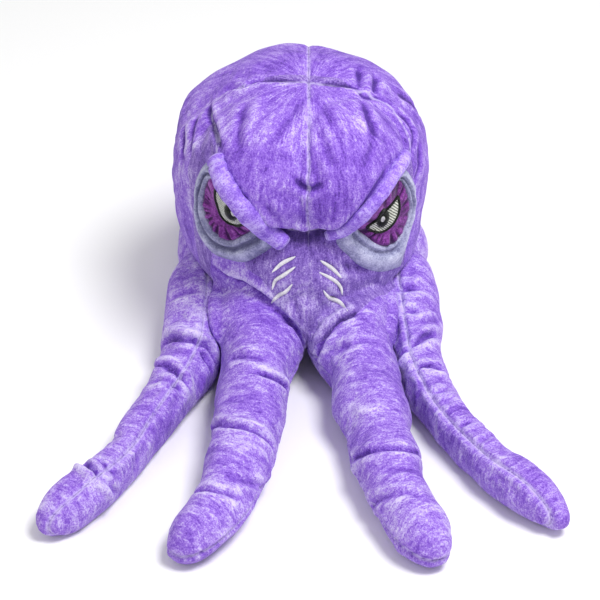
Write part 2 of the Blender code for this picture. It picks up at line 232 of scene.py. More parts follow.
# Tentacles, in millimetres: (x, y, z, half width, half height) along the middle, root first
TENTACLES = {
    "front_left": (
        (-40, -55, 46, 40, 44), (-40.5, -105, 44, 40.5, 43), (-40, -130, 39, 38.5, 40),
        (-42, -160, 35, 34.5, 36), (-45.5, -195, 32, 33, 33), (-50, -235, 30, 32, 31),
        (-54.5, -275, 29, 31, 29.5), (-61, -310, 27, 27, 27.5), (-71.5, -343, 26, 25, 26),
        (-87, -369, 25, 24.5, 25), (-100, -386, 22, 19, 20), (-107.5, -394, 18.5, 11, 11.5),
        (-109, -396, 18, 5, 6),
    ),
    "front_right": (
        (46, -55, 46, 44, 44), (48, -105, 44, 43, 43), (50, -130, 39, 38.5, 40),
        (56.5, -160, 35, 33.5, 36), (61.5, -195, 32, 33.5, 33), (68.5, -235, 30, 31.5, 31),
        (73.5, -275, 29, 30, 29.5), (81.5, -315, 27.5, 28, 28), (92, -348, 26, 26, 26.5),
        (103.5, -376, 24.5, 24, 25), (112, -392, 21.5, 18, 19.5), (117, -400.5, 18, 10.5, 11),
        (118, -402.5, 17.5, 5, 6),
    ),
    "side_left": (
        (-88, -10, 47, 24, 36), (-99, -30, 44, 30, 40), (-100.5, -60, 39, 32.5, 39),
        (-102.5, -100, 31, 30.5, 34), (-106, -130, 27, 28, 29), (-115, -160, 25, 26.5, 26),
        (-128.5, -193, 24, 23, 24.5), (-143.5, -227, 22, 21.5, 22.5), (-157.5, -265, 21, 18.5, 21),
        (-176, -300, 22, 19.5, 21.5), (-198, -331, 22, 22.5, 22), (-215, -348, 20, 17.5, 17.5),
        (-225.5, -355.5, 18, 9.5, 10), (-228.5, -357.5, 17.5, 4, 5),
    ),
    "side_right": (
        (88, -10, 47, 23, 36), (101, -30, 44, 29, 40), (104, -60, 39, 30, 38),
        (107.5, -100, 31, 26.5, 32), (110.5, -130, 27, 23, 27), (115.5, -160, 25, 22, 24.5),
        (125.5, -193, 23, 20.5, 22.5), (139, -225, 22.5, 19.5, 21.5), (157, -258, 22, 19, 21.5),
        (175, -289, 23, 19.5, 22), (197, -316, 23, 22, 22.5), (215.5, -338, 21, 17.5, 18.5),
        (226.5, -351.5, 18.5, 8.5, 10), (229, -355, 17.5, 4, 5),
    ),
    "rear_side_left": (
        (-90, 14, 47, 20, 36), (-101.5, 34, 44, 24, 40), (-99.5, 65, 39, 24.5, 37),
        (-97.5, 100, 31, 24.5, 30), (-96, 130, 27, 24.5, 27), (-95.5, 165, 25, 23.5, 25),
        (-96.8, 205, 24, 22.5, 24), (-98.5, 245, 23, 21.5, 23.5), (-100.5, 285, 22, 20.5, 22.5),
        (-102, 318, 21, 19, 21), (-102.2, 339, 19, 13.5, 16), (-102.2, 348, 18, 6, 8),
    ),
    "rear_left": (
        (-30, 60, 44, 26, 38), (-34, 105, 44, 31.5, 42), (-36, 135, 39, 30, 39),
        (-37.5, 170, 35, 29, 35), (-37.8, 205, 32, 28.8, 32), (-37.5, 240, 30, 28.5, 31),
        (-38, 275, 28.5, 27.8, 29.5), (-39, 308, 27, 27, 28), (-40.5, 338, 25.5, 25.5, 26),
        (-42, 362, 23, 19, 21), (-43, 373, 21, 8, 10),
    ),
}
MIRRORED = {"rear_side_right": "rear_side_left", "rear_right": "rear_left"}

# Forehead panel: a point inside the head, the way it looks out, and its border in millimetres
HEAD_MIDDLE = np.array((0.004, -0.020, 0.170))
FOREHEAD_WAY = np.array((0.0, -0.72, 0.69))
FOREHEAD_BORDER = (
    (7, -30, 275), (45, -28, 270), (71, -28, 257), (87, -28, 246), (101, -53, 214), (92, -72, 205),
    (67, -105, 192), (43, -112, 178), (21, -111, 164), (4, -111, 159), (-14, -111, 163),
    (-36, -114, 179), (-55, -112, 194), (-74, -92, 214), (-79, -75, 238), (-88, -28, 246),
    (-68, -20, 261), (-40, -24, 271),
)
# How far forward or back the tentacles' panels start, by distance from the middle seam, in millimetres
ROOT_LINES = {
    "front_left": ((0, 99), (13, 91.5), (28, 82), (42, 69), (60, 53), (85, 34)),
    "front_right": ((0, 112), (12, 112), (24, 104), (35, 98), (47, 90), (85, 40)),
    "rear": ((0, 95), (40, 80), (85, 40)),
}

# The way pieces are laid on the face, from how far in front, and how far back they may go
FACE_WAY = Vector((0.0, -0.83, 0.56)).normalized()
LAY_START = 0.08
LAY_REACH = 0.2

# Eyes: the way each looks, the seed of its crinkles, its surround's groove (place, depth) and painted tone
EYE_WAYS = {"left": np.array((-0.66, -0.72, 0.20)), "right": np.array((0.66, -0.72, 0.20))}
# The painted tone is painted shade on the shaded left surround and painted light on the lit right one
EYE_LOOKS = {"left": (11, 0.42, 0.0050, -0.0009), "right": (12, 0.30, 0.0046, 0.0005)}
EYE_POINTS = 144
SURROUND_ROWS = 26
PATCH_ROWS = 30
IRIS_ROWS = 20
OUTLINE_ROWS = 9
DISC_ROWS = 8
# How wide a piece's first row is, as a share of its border
PATCH_START = 0.06
DISC_START = 0.05
SURROUND_PUFF = 0.0060
GROOVE_SPREAD = 0.10
CRINKLES = 10
OUTLINE_SHARES = (0.95, 1.14)
OUTLINE_RISE = 0.0022
IRIS_RISE = 0.0007
# Discs on the iris: radius, rise, material, slot, and whether it is a part of the CAD model
EYE_DISCS = {
    "pupil_ring": (0.0090, 0.0011, "ring_thread", "dark_thread", False),
    "pupil": (0.0068, 0.0017, "dark_thread", "dark_thread", True),
    "glint": (0.0029, 0.0024, "white_thread", "white_thread", True),
}
# Brows: half width, half height, notches along it, phase of its waves, and how its far end narrows
BROW_SIZES = {"left": (0.0099, 0.0074, (0.009,), 1, 1.0), "right": (0.0070, 0.0062, (), 4, 0.35)}
BROW_SIDES = 36
BROW_END = 0.0028
BROW_LIFT = 0.0016
BROW_RISE = 0.0022
NOTCH_WIDTH = 0.0016
END_STITCH = 0.0015
# Valleys under brows and wrinkles: depth, width, raised sides and step, as for the folds below
BROW_PRESS = (0.0030, 0.0032, 0.2, 0.0)
WRINKLE_PRESS = (0.0024, 0.0026, 0.35, 0.0)
WRINKLE_WIDTH = 0.0019
WRINKLE_STEP = 0.00028
WRINKLE_SIDES = 14
THREAD_PITCH = 0.00085

# Eyes, brows and wrinkles: their borders or middle lines, in millimetres
EYES = {
    "left": {
        "middle": (-74, -93, 172),
        "surround": (
            (-86, -81, 218), (-98, -66, 189), (-100, -62, 168), (-101, -59, 141), (-96, -65, 127),
            (-84, -75, 114), (-70, -87, 115), (-54, -97, 118), (-40, -105, 131), (-27, -109, 143),
            (-26, -110, 153), (-40, -117, 177), (-55, -119, 197), (-68, -110, 212),
        ),
        "patch": (
            (-84, -89, 208), (-91, -73, 179), (-92, -73, 164), (-88, -76, 152), (-82, -81, 141),
            (-73, -87, 137), (-64, -93, 138), (-57, -97, 146), (-45, -103, 157), (-42, -117, 177),
            (-55, -119, 195), (-70, -107, 208),
        ),
        "iris": (
            (-77, -101, 200), (-78.5, -95, 189), (-77, -91, 178), (-74, -90, 166), (-68, -91, 159),
            (-59, -97, 160), (-52, -107, 170), (-54, -112, 182), (-60, -115, 193), (-68, -110, 202),
        ),
        "pupil": (-64.5, -107, 181),
        "glint": (-61.5, -108, 180),
    },
    "right": {
        "middle": (80, -83, 158),
        "surround": (
            (98, -65, 199), (105, -55, 177), (106, -53, 158), (104, -53, 138), (98, -60, 118),
            (96, -58, 90), (90, -62, 88), (73, -82, 97), (55, -96, 113), (39, -105, 135),
            (30, -107, 150), (40, -110, 163), (55, -114, 182), (75, -101, 202), (88, -80, 210),
        ),
        "patch": (
            (93, -72, 194), (100, -62, 168), (101, -60, 152), (96, -65, 135), (88, -73, 125),
            (79, -81, 125), (68, -90, 134), (55, -98, 151), (47, -104, 160), (55, -112, 178),
            (72, -103, 196), (86, -82, 202),
        ),
        "iris": (
            (88, -76, 176), (89.5, -75, 162), (85, -78, 151), (77, -85, 147), (69, -91, 149),
            (61, -95, 157), (68, -94, 163), (75, -90, 168.5), (82, -84, 173.5),
        ),
        "pupil": (74.5, -88, 161.5),
        "glint": (74, -88, 161.5),
    },
}
BROWS = {
    "left": (
        (-78, -89, 228), (-72.5, -104, 217), (-65, -113, 207), (-54.5, -119, 194), (-41, -118, 177),
        (-27, -110, 160), (-14.5, -110, 148),
    ),
    "right": (
        (96, -62, 216), (82, -92, 211), (67, -111, 197), (50, -115, 178), (34, -107, 161),
        (21, -109, 157),
    ),
}
BROW_CREASE = (0.0, -0.002, 0.010)
WRINKLES = {
    "left_1": ((-6, -117, 138), (-18, -116, 130), (-28, -115, 119)),
    "left_2": ((-6, -119, 128), (-18, -119, 118), (-25, -117, 111), (-28, -116, 100)),
    "left_3": ((-9, -121, 110), (-15, -120, 101), (-22, -118, 95), (-29, -116, 85)),
    "right_1": ((17, -116, 133), (28, -114, 123), (37, -111, 110)),
    "right_2": ((16, -119, 122), (29, -115, 111), (36, -112, 101), (38, -111, 91)),
    "right_3": ((20, -118, 101), (25, -116, 92), (35, -115, 86), (43, -123, 81)),
}

# Folds pressed into the skin: points along it, depth and half width in millimetres, raised sides, and
# how much the side to its left stands over the other
FOLDS = {
    "head": (
        (((-44, -114, 188), (-30, -113, 177), (-14, -112, 165), (4, -111, 160), (21, -111, 166),
          (36, -112, 176), (48, -113, 185)), 5.8, 3.8, 0.15, 0.9),
        (((-90, -13, 246), (-85, -40, 243), (-78, -69, 241), (-74, -88, 236)), 5, 3.2, 0.3, 0.3),
        (((84, -25, 249), (100, -28, 231), (105, -37, 220), (101, -53, 212)), 3.2, 3, 0.45, 0.3),
        (((109, -33, 214), (110, -44, 198), (105, -55, 178)), 2.6, 2.8, 0.4, 0.2),
        (((-107, -14, 225), (-111, -32, 210), (-109, -47, 195)), 2.8, 3, 0.5, 0.2),
        (((-104, -49, 210), (-113, -39, 178), (-113, -37, 150)), 2.2, 3.2, 0.5, 0.0),
        (((-98, -20, 240), (-103, -40, 224), (-99, -60, 206)), 2.2, 3.6, 0.6, 0.0),
        (((7, -30, 275), (-20, -26, 275), (-45, -22, 270), (-54, -25, 266), (-68, -17, 261),
          (-77, -16, 255)), 3.6, 3, 0.6, 0.2),
        (((7, -30, 275), (24, -30, 273), (43, -27, 270), (53, -29, 266), (58, -35, 262), (71, -28, 257),
          (84, -25, 249)), 3.6, 3, 0.6, -0.2),
        (((52, 4, 268), (55, -12, 268), (55, -26, 266)), 3.6, 3.4, 0.7, 0.2),
        (((70, 6, 260), (69, -10, 261), (68, -25, 259)), 3.4, 3.4, 0.7, 0.0),
        (((56, -40, 262), (60, -64, 257), (68, -78, 247), (81, -79, 233)), 2.4, 3.6, 0.7, 0.2),
        (((-7, -116, 223), (-2, -116, 216), (6, -118, 212), (14, -119, 215), (20, -118, 222)),
         3.6, 3.4, 0.7, 0.0),
        (((8, -49, 270), (25, -77, 260), (39, -111, 238)), 1.6, 4.2, 0.8, 0.0),
        (((3, -49, 270), (-15, -81, 257), (-36, -108, 241)), 1.6, 4.2, 0.8, 0.0),
        (((16, -78, 258), (22, -105, 244), (31, -118, 229)), 1.6, 3.6, 0.8, 0.0),
        (((58, -57, 259), (64, -88, 245), (52, -115, 225)), 1.6, 4, 0.8, 0.0),
        (((-48, -47, 264), (-56, -77, 255), (-58, -102, 238)), 1.8, 4.4, 0.8, 0.0),
        (((-28, -46, 268), (-36, -76, 256), (-52, -105, 236)), 1.2, 4, 0.8, 0.0),
        (((-35, -125, 202), (-27, -123, 188), (-19, -114, 173)), 1.8, 3.6, 0.8, 0.0),
        (((-4, -124, 205), (0, -122, 192), (4, -118, 178)), 1.4, 3.6, 0.8, 0.0),
        (((-40, -20, 268), (-62, 10, 258), (-85, 30, 238)), 2.2, 4.6, 0.7, 0.0),
        (((88, 0, 247), (104, 15, 226), (113, 22, 200)), 2.6, 4.4, 0.7, 0.0),
    ),
    "roots": (
        (((-86, -70, 103), (-74, -81, 98), (-60, -91, 95), (-42, -107, 92), (-28, -118, 84),
          (-13, -124, 73), (-2, -126, 55), (0, -122, 30)), 6.2, 2.8, 0.35, 0.4),
        (((54, -126, 82), (47, -128, 80), (35, -132, 76), (24, -138, 66), (17, -142, 53), (14, -138, 30)),
         5, 3.2, 0.8, -0.3),
        (((23, -154, 53), (40, -160, 67), (66, -156, 70)), 2.4, 3.4, 0.9, 0.0),
        (((60, -118, 85), (72, -120, 80), (84, -116, 70)), 1.6, 3.4, 0.9, 0.0),
        (((-8, -122, 100), (-4, -126, 80), (2, -128, 62)), 1.8, 4, 0.8, 0.0),
        (((22, -122, 98), (14, -127, 80), (9, -128, 62)), 1.8, 4, 0.8, 0.0),
        (((30, -105, 128), (48, -103, 116), (64, -94, 104)), 1.8, 4.6, 0.8, 0.0),
        (((-30, -107, 138), (-46, -100, 124), (-68, -86, 112)), 1.8, 4.6, 0.8, 0.0),
    ),
    "front_left": (
        (((-71, -164, 54), (-57, -174, 65), (-42, -180, 67), (-29, -180, 63)), 2.2, 3.6, 0.9, 0.0),
        (((-45, -196, 64), (-31, -199, 61), (-17, -195, 49), (-10, -192, 36)), 4.4, 3, 0.7, 0.3),
        (((-85, -244, 26), (-81, -248, 40), (-68, -264, 55), (-55, -271, 58), (-39, -275, 55),
          (-26, -277, 44), (-22, -277, 28)), 4.4, 3.2, 0.7, 0.3),
        (((-94, -338, 30), (-88, -344, 46), (-75, -350, 51), (-62, -352, 49), (-50, -350, 38)),
         3, 3, 0.8, 0.2),
        (((-62, -334, 51), (-45, -329, 42), (-35, -316, 24)), 2.4, 3.2, 0.8, 0.0),
        (((-78, -226, 46), (-64, -232, 58), (-50, -236, 60)), 1.4, 3.4, 0.9, 0.0),
        (((-60, -298, 53), (-45, -302, 50), (-32, -300, 36)), 1.8, 3.2, 0.9, 0.0),
        (((-86, -286, 36), (-76, -296, 50), (-62, -304, 55)), 1.4, 3.4, 0.9, 0.0),
    ),
    "front_right": (
        (((40, -280, 20), (43, -284, 30), (53, -297, 46), (73, -302, 56), (90, -301, 53), (101, -292, 41),
          (104, -288, 26)), 4.2, 3.2, 0.7, -0.3),
        (((57, -338, 18), (61, -343, 28), (76, -353, 48), (93, -356, 53), (107, -366, 48)),
         2.6, 3.2, 0.8, 0.0),
        (((28, -196, 44), (46, -206, 62), (66, -208, 66)), 1.3, 3.6, 0.9, 0.0),
        (((40, -246, 48), (58, -254, 60), (78, -252, 60)), 1.6, 3.6, 0.9, 0.0),
        (((66, -325, 52), (84, -328, 55), (98, -322, 50)), 1.4, 3.4, 0.9, 0.0),
    ),
    "side_left": (
        (((-126, -72, 52), (-110, -76, 69), (-93, -73, 66), (-82, -66, 52)), 3, 3.4, 0.7, 0.0),
        (((-133, -114, 34), (-126, -120, 47), (-113, -131, 56), (-97, -134, 53), (-86, -136, 43),
          (-80, -142, 30)), 6.6, 3.4, 0.6, 0.5),
        (((-100, -142, 50), (-88, -150, 43), (-82, -154, 30)), 3.6, 3, 0.7, 0.0),
        (((-139, -156, 32), (-131, -160, 46), (-119, -172, 50), (-108, -184, 46), (-95, -192, 36)),
         4.8, 3, 0.7, 0.4),
        (((-122, -188, 48), (-108, -198, 43), (-100, -204, 32)), 3.6, 3, 0.7, 0.3),
        (((-142, -180, 36), (-132, -184, 46), (-122, -192, 48)), 2.2, 3, 0.8, 0.0),
        (((-192, -300, 34), (-190, -308, 43), (-176, -323, 43), (-166, -325, 32), (-161, -318, 14)),
         5.8, 3, 0.9, -0.4),
        (((-183, -296, 40), (-170, -310, 42), (-158, -310, 30)), 2.4, 2.8, 0.9, 0.0),
        (((-150, -100, 52), (-118, -102, 58), (-98, -98, 56)), 1.6, 4, 0.8, 0.0),
    ),
    "side_right": (
        (((84, -64, 50), (91, -67, 64), (103, -73, 72), (118, -66, 66)), 3, 3.2, 0.8, 0.0),
        (((83, -88, 38), (90, -91, 52), (104, -97, 62), (114, -94, 60)), 3, 3.2, 0.8, 0.0),
        (((86, -142, 30), (92, -145, 46), (106, -139, 54), (120, -122, 52), (130, -108, 40)),
         6.2, 3.4, 0.7, -0.5),
        (((88, -176, 28), (93, -173, 42), (107, -168, 49), (122, -166, 47), (134, -168, 34)),
         5.4, 3.2, 0.7, -0.5),
        (((106, -205, 43), (122, -202, 45), (136, -196, 36)), 2.2, 3, 0.9, 0.0),
        (((118, -222, 43), (132, -216, 44), (143, -210, 34)), 1.8, 3, 0.9, 0.0),
        (((136, -252, 42), (150, -246, 42), (160, -238, 32)), 2, 3, 0.9, 0.0),
        (((152, -276, 43), (164, -268, 43), (174, -260, 34)), 1.8, 3, 0.9, 0.0),
        (((112, -110, 58), (124, -100, 54), (132, -90, 44)), 2.4, 3.4, 0.8, 0.0),
    ),
}
# Rings round the rear tentacles: how far back, depth and half width, in millimetres
REAR_FOLDS = ((182, 3, 3.4), (226, 3.6, 3.4), (298, 3.4, 3.2), (334, 1.6, 3.4))
REAR_SIDE_FOLDS = ((80, 3, 3.6), (118, 5, 3.4), (148, 4, 3.4), (214, 2, 3.4), (278, 3, 3.2))
# Painted light: the tentacles' plush is painted a little paler than the head's
TENTACLE_PAINTED_LIGHT = 0.0009


Placement = namedtuple("Placement", "index along across up ratio")


def metres(rows):
    """Lengths written in millimetres."""
    return np.array(rows, float) / 1000


def unit(rows):
    """Vectors at length one."""
    return rows / np.linalg.norm(rows, axis=-1, keepdims=True)


def lengths(line):
    """The distance along a line to each of its points."""
    steps = np.linalg.norm(np.diff(line, axis=0), axis=1)
    return np.concatenate([[0.0], np.cumsum(steps)])


def relax(line, rounds):
    """Moves a line's inner points halfway to the mean of their neighbours, over and over."""
    for _ in range(rounds):
        line[1:-1] = 0.5 * line[1:-1] + 0.25 * (line[:-2] + line[2:])


def smooth_step(low, high, value):
    t = np.clip((value - low) / (high - low), 0.0, 1.0)
    return t * t * (3 - 2 * t)


def catmull(points, per_span):
    """Rows read smoothly through the given rows."""
    rows = np.array(points, float)
    padded = np.vstack([2 * rows[0] - rows[1], rows, 2 * rows[-1] - rows[-2]])
    made = []
    for i in range(len(rows) - 1):
        p0, p1, p2, p3 = padded[i:i + 4]
        for t in np.arange(per_span) / per_span:
            made.append(0.5 * (
                2 * p1 + (p2 - p0) * t + (2 * p0 - 5 * p1 + 4 * p2 - p3) * t ** 2
                + (3 * p1 - p0 - 3 * p2 + p3) * t ** 3
            ))
    made.append(rows[-1])
    return np.array(made)


def closed_curve(border, per_span):
    """Points smoothly through a border's points and back to its first."""
    return catmull(np.vstack([border, border[:3]]), per_span)[per_span:-per_span]


def axes(way):
    """The directions to the right and up of a way to look out."""
    right = unit(np.cross((0.0, 0.0, 1.0), way))
    return right, np.cross(way, right)


def three_rounds(turn, rows):
    """The turns in order over three full circles, with their rows, ready to be interpolated."""
    order = np.argsort(turn)
    turn = turn[order]
    turn = np.concatenate([turn - 2 * math.pi, turn, turn + 2 * math.pi])
    return turn, np.concatenate([rows[order]] * 3)


def full_turn(count):
    """Even angles round a circle."""
    return np.linspace(0, 2 * math.pi, count, endpoint=False)


def valley(distance, width, raised, ridge_at, ridge_width):
    """A fold's height by the distance from its line: a valley with a ridge beside it."""
    ridge = np.exp(-((distance - ridge_at) / ridge_width) ** 2)
    return raised * ridge - np.exp(-(distance / width) ** 2)


class Tentacle:
    """The middle line of a tentacle, with its size and directions at each sample."""

    def __init__(self, name):
        rows = metres(TENTACLES[MIRRORED.get(name, name)])
        if name in MIRRORED:
            rows[:, 0] *= -1
        rows = catmull(rows, ROW_SAMPLES)
        self.name = name
        self.line = rows[:, :3]
        self.width = rows[:, 3]
        self.height = rows[:, 4]
        self.along = lengths(self.line)
        heading = np.gradient(self.line, axis=0)
        heading[:, 2] = 0.0
        self.heading = unit(heading)
        self.side = np.cross(self.heading, (0.0, 0.0, 1.0))

    def place(self, points):
        """For each point: its sample, distance along, sideways and upward offsets, size ratio."""
        index = np.zeros(len(points), int)
        for start in range(0, len(points), PLACE_CHUNK):
            part = points[start:start + PLACE_CHUNK, None, :2] - self.line[None, :, :2]
            index[start:start + PLACE_CHUNK] = (part ** 2).sum(2).argmin(1)
        offset = points - self.line[index]
        ahead = (offset * self.heading[index]).sum(1)
        across = (offset * self.side[index]).sum(1)
        up = offset[:, 2]
        ratio = np.sqrt((across / self.width[index]) ** 2 + (up / self.height[index]) ** 2)
        return Placement(index, self.along[index] + ahead, across, up, ratio)

    def solid(self, inset=0.0, reach=math.inf):
        """A closed tube along the line, slimmer by the inset and no further forward or back."""
        kept = np.cumprod(np.abs(self.line[:, 1]) <= reach).astype(bool)
        turns = full_turn(TUBE_SIDES)
        wide = (self.width[kept] - inset)[:, None] * np.cos(turns)
        high = (self.height[kept] - inset)[:, None] * np.sin(turns)
        grid = self.line[kept][:, None] + self.side[kept][:, None] * wide[..., None]
        grid[..., 2] += high
        return tube(grid)


def add_object(name, data):
    item = bpy.data.objects.new(name, data)
    bpy.context.scene.collection.objects.link(item)
    return item


def add_mesh(name, bm):
    mesh = bpy.data.meshes.new(name)
    bm.to_mesh(mesh)
    bm.free()
    return add_object(name, mesh)


def apply_modifiers(item):
    """Keeps what the modifiers make of the mesh, and drops them."""
    graph = bpy.context.evaluated_depsgraph_get()
    mesh = bpy.data.meshes.new_from_object(item.evaluated_get(graph))
    item.modifiers.clear()
    old = item.data
    item.data = mesh
    bpy.data.meshes.remove(old)


def refine(item):
    """Splits every face in four, smoothly."""
    finer = item.modifiers.new("finer", "SUBSURF")
    finer.levels = 1
    finer.render_levels = 1
    apply_modifiers(item)


def thicken(piece):
    """Gives a piece the cloth's thickness, inwards, so it is a closed shell."""
    shell = piece.modifiers.new("cloth", "SOLIDIFY")
    shell.thickness = CLOTH_THICKNESS
    shell.offset = -1.0
    apply_modifiers(piece)
    piece.data.shade_smooth()


def field_of(data, field, width=1, kind=float):
    """One field of all the elements as an array."""
    values = np.empty(len(data) * width, kind)
    data.foreach_get(field, values)
    return values.reshape(-1, width) if width > 1 else values


def points_of(item):
    return field_of(item.data.vertices, "co", 3)


def read(mesh, name):
    return field_of(mesh.attributes[name].data, "value")


def store(mesh, name, values):
    """Stores a number or a vector for every point under that name."""
    kind, field = ("FLOAT_VECTOR", "vector") if values.ndim == 2 else ("FLOAT", "value")
    attribute = mesh.attributes.get(name) or mesh.attributes.new(name, kind, "POINT")
    attribute.data.foreach_set(field, values.astype(np.float32).ravel())


def store_pile(mesh, nap, relief=0.0, seam=NO_SEAM):
    """Stores what the plush reads at every point."""
    store(mesh, "nap", nap)
    store(mesh, "relief", np.zeros(len(nap)) + relief)
    store(mesh, "seam", np.zeros(len(nap)) + seam)


def bridge(grid):
    """Quads between rows of points that close on themselves, and the rows of vertices."""
    bm = bmesh.new()
    loops = [[bm.verts.new(spot) for spot in row] for row in grid]
    for near, far in zip(loops, loops[1:]):
        for k in range(len(near)):
            m = (k + 1) % len(near)
            bm.faces.new((near[k], near[m], far[m], far[k]))
    return bm, loops


def tube(grid):
    """A closed tube from rows of points that close on themselves."""
    bm, loops = bridge(grid)
    bm.faces.new(loops[0][::-1])
    bm.faces.new(loops[-1])
    bmesh.ops.recalc_face_normals(bm, faces=bm.faces[:])
    return bm


def tube_piece(name, grid):
    piece = add_mesh(name, tube(grid))
    piece.data.shade_smooth()
    return piece


def ball(shape, segments=96, rings=64):
    """A sphere whose every vertex is moved by shape(azimuth, polar), both in radians."""
    bm = bmesh.new()
    bmesh.ops.create_uvsphere(bm, u_segments=segments, v_segments=rings, radius=1.0)
    for vert in bm.verts:
        polar = math.acos(max(-1.0, min(1.0, vert.co.z)))
        azimuth = math.atan2(vert.co.x, -vert.co.y)
        vert.co = shape(azimuth, polar)
    return bm


def ellipsoid(centre, radii):
    def shape(azimuth, polar):
        return Vector((
            centre[0] + radii[0] * math.sin(polar) * math.sin(azimuth),
            centre[1] - radii[1] * math.sin(polar) * math.cos(azimuth),
            centre[2] + radii[2] * math.cos(polar),
        ))
    return ball(shape, 64, 40)


def head_shape(azimuth, polar):
    """The head without its forehead: a dome, straight cheeks set back at the face, a narrow trunk."""
    front = max(0.0, math.cos(azimuth))
    side = math.sin(azimuth)
    back_tuck = BACK_TUCK * max(0.0, -math.cos(azimuth) - BACK_TUCK_FROM)
    share = (polar - math.pi / 2) / (math.pi / 4)
    if share <= 0.0:
        height = WIDEST_Z + (HEAD_TOP - WIDEST_Z) * math.cos(polar)
        radius = HEAD_RADIUS * math.sin(polar) ** DOME_POWER
        for way, flatter, middle, wide in FLAT_CORNERS:
            radius *= 1 - flatter * max(0.0, way * side) * math.exp(-((polar - middle) / wide) ** 2)
    elif share <= 1.0:
        height = WIDEST_Z - (WIDEST_Z - SKIRT_Z) * share
        radius = HEAD_RADIUS - (HEAD_RADIUS - SKIRT_RADIUS + back_tuck) * share ** 2
    else:
        under = share - 1.0
        height = SKIRT_Z - TRUNK_DEPTH * min(1.0, under * 1.4)
        radius = (SKIRT_RADIUS - back_tuck) * (1 - TRUNK_NARROWER * smooth_step(0.0, 0.45, under))
        radius *= math.sqrt(max(0.0, 1.0 - max(0.0, (under - 0.7) / 0.3) ** 2))
    cheek = smooth_step(*LEFT_CHEEK_TOP, polar) * smooth_step(*LEFT_CHEEK_FOOT, polar)
    radius += LEFT_CHEEK * max(0.0, -side) * cheek
    set_back = FACE_SET_BACK * front ** 2 * smooth_step(*FACE_SET_BACK_FROM, polar)
    radius = max(0.0, radius - set_back * math.sin(polar))
    return Vector((radius * side, -radius * math.cos(azimuth), height))


def volume(name, solids, voxel):
    """Closed solids as one surface of even quads."""
    joined = bmesh.new()
    for bm in solids:
        mesh = bpy.data.meshes.new("solid")
        bm.to_mesh(mesh)
        bm.free()
        joined.from_mesh(mesh)
        bpy.data.meshes.remove(mesh)
    item = add_mesh(name, joined)
    remesh = item.modifiers.new("remesh", "REMESH")
    remesh.mode = "VOXEL"
    remesh.voxel_size = voxel
    soften = item.modifiers.new("soften", "SMOOTH")
    soften.factor = 0.5
    soften.iterations = SMOOTH_ROUNDS
    apply_modifiers(item)
    return item


def averaged(mesh, rows, rounds):
    """Rows of values at the mesh's points, averaged with their neighbours over and over."""
    first, second = field_of(mesh.edges, "vertices", 2, int).T
    size = len(rows)
    count = np.bincount(np.concatenate([first, second]), minlength=size)
    rows = rows.copy()
    for _ in range(rounds):
        for k in range(rows.shape[1]):
            total = np.bincount(first, rows[second, k], size)
            total += np.bincount(second, rows[first, k], size)
            rows[:, k] = 0.5 * rows[:, k] + 0.5 * total / count
    return rows


def swell(item, lines):
    """Blows the cloth up between the lines it is sewn along, and keeps the puckers and wrinkles."""
    scene = bpy.context.scene
    start = points_of(item)
    sewn = start[:, 2] < SEWN_FLOOR
    for line in lines:
        sewn |= np.abs(line) < SEWN_REACH
    group = item.vertex_groups.new(name="sewn")
    group.add(np.nonzero(sewn)[0].tolist(), 1.0, "REPLACE")
    cloth = item.modifiers.new("cloth", "CLOTH")
    settings = cloth.settings
    settings.quality = CLOTH_QUALITY
    settings.vertex_group_mass = "sewn"
    settings.use_pressure = True
    settings.uniform_pressure_force = CLOTH_PRESSURE
    settings.shrink_min = -SPARE_CLOTH
    settings.effector_weights.gravity = 0.0
    settings.bending_stiffness = CLOTH_BENDING
    cloth.collision_settings.use_collision = False
    cloth.point_cache.frame_start = 1
    cloth.point_cache.frame_end = CLOTH_FRAMES
    for time in range(1, CLOTH_FRAMES + 1):
        scene.frame_set(time)
    apply_modifiers(item)
    scene.frame_set(1)
    item.vertex_groups.clear()
    move = points_of(item) - start
    move -= averaged(item.data, move, AVERAGE_ROUNDS)
    size = np.linalg.norm(move, axis=1)[:, None]
    after = start + move * np.minimum(1.0, SWELL_CAP / np.maximum(size, 1e-9))
    item.data.vertices.foreach_set("co", after.ravel())
    item.data.update()


def add_camera():
    data = bpy.data.cameras.new("camera")
    data.lens = LENS
    data.shift_x = SHIFT_X
    data.shift_y = SHIFT_Y
    data.clip_end = 50.0
    camera = add_object("camera", data)
    back = Vector((0.0, -math.cos(ELEVATION), math.sin(ELEVATION)))
    camera.location = TARGET + back * DISTANCE
    camera.rotation_euler = back.to_track_quat("Z", "Y").to_euler()
    bpy.context.scene.camera = camera


def add_studio():
    scene = bpy.context.scene
    scene.view_settings.view_transform = "Standard"
    world = bpy.data.worlds.new("studio")
    world.use_nodes = True
    background = world.node_tree.nodes["Background"]
    background.inputs["Color"].default_value = (1.0, 1.0, 1.0, 1.0)
    background.inputs["Strength"].default_value = WORLD_STRENGTH
    scene.world = world
    for name, (place, size, power) in LAMPS.items():
        data = bpy.data.lights.new(name, "AREA")
        data.shape = "DISK"
        data.size = size
        data.energy = power
        lamp = add_object(name, data)
        lamp.location = place
        lamp.rotation_euler = (Vector(place) - LAMP_AIM).to_track_quat("Z", "Y").to_euler()
    bm = bmesh.new()
    bmesh.ops.create_grid(bm, x_segments=2, y_segments=2, size=FLOOR_SIZE)
    floor = add_mesh("floor", bm)
    floor.data.materials.append(Graph("pale_floor", Base_Color=FLOOR_COLOUR, Roughness=0.8).material)


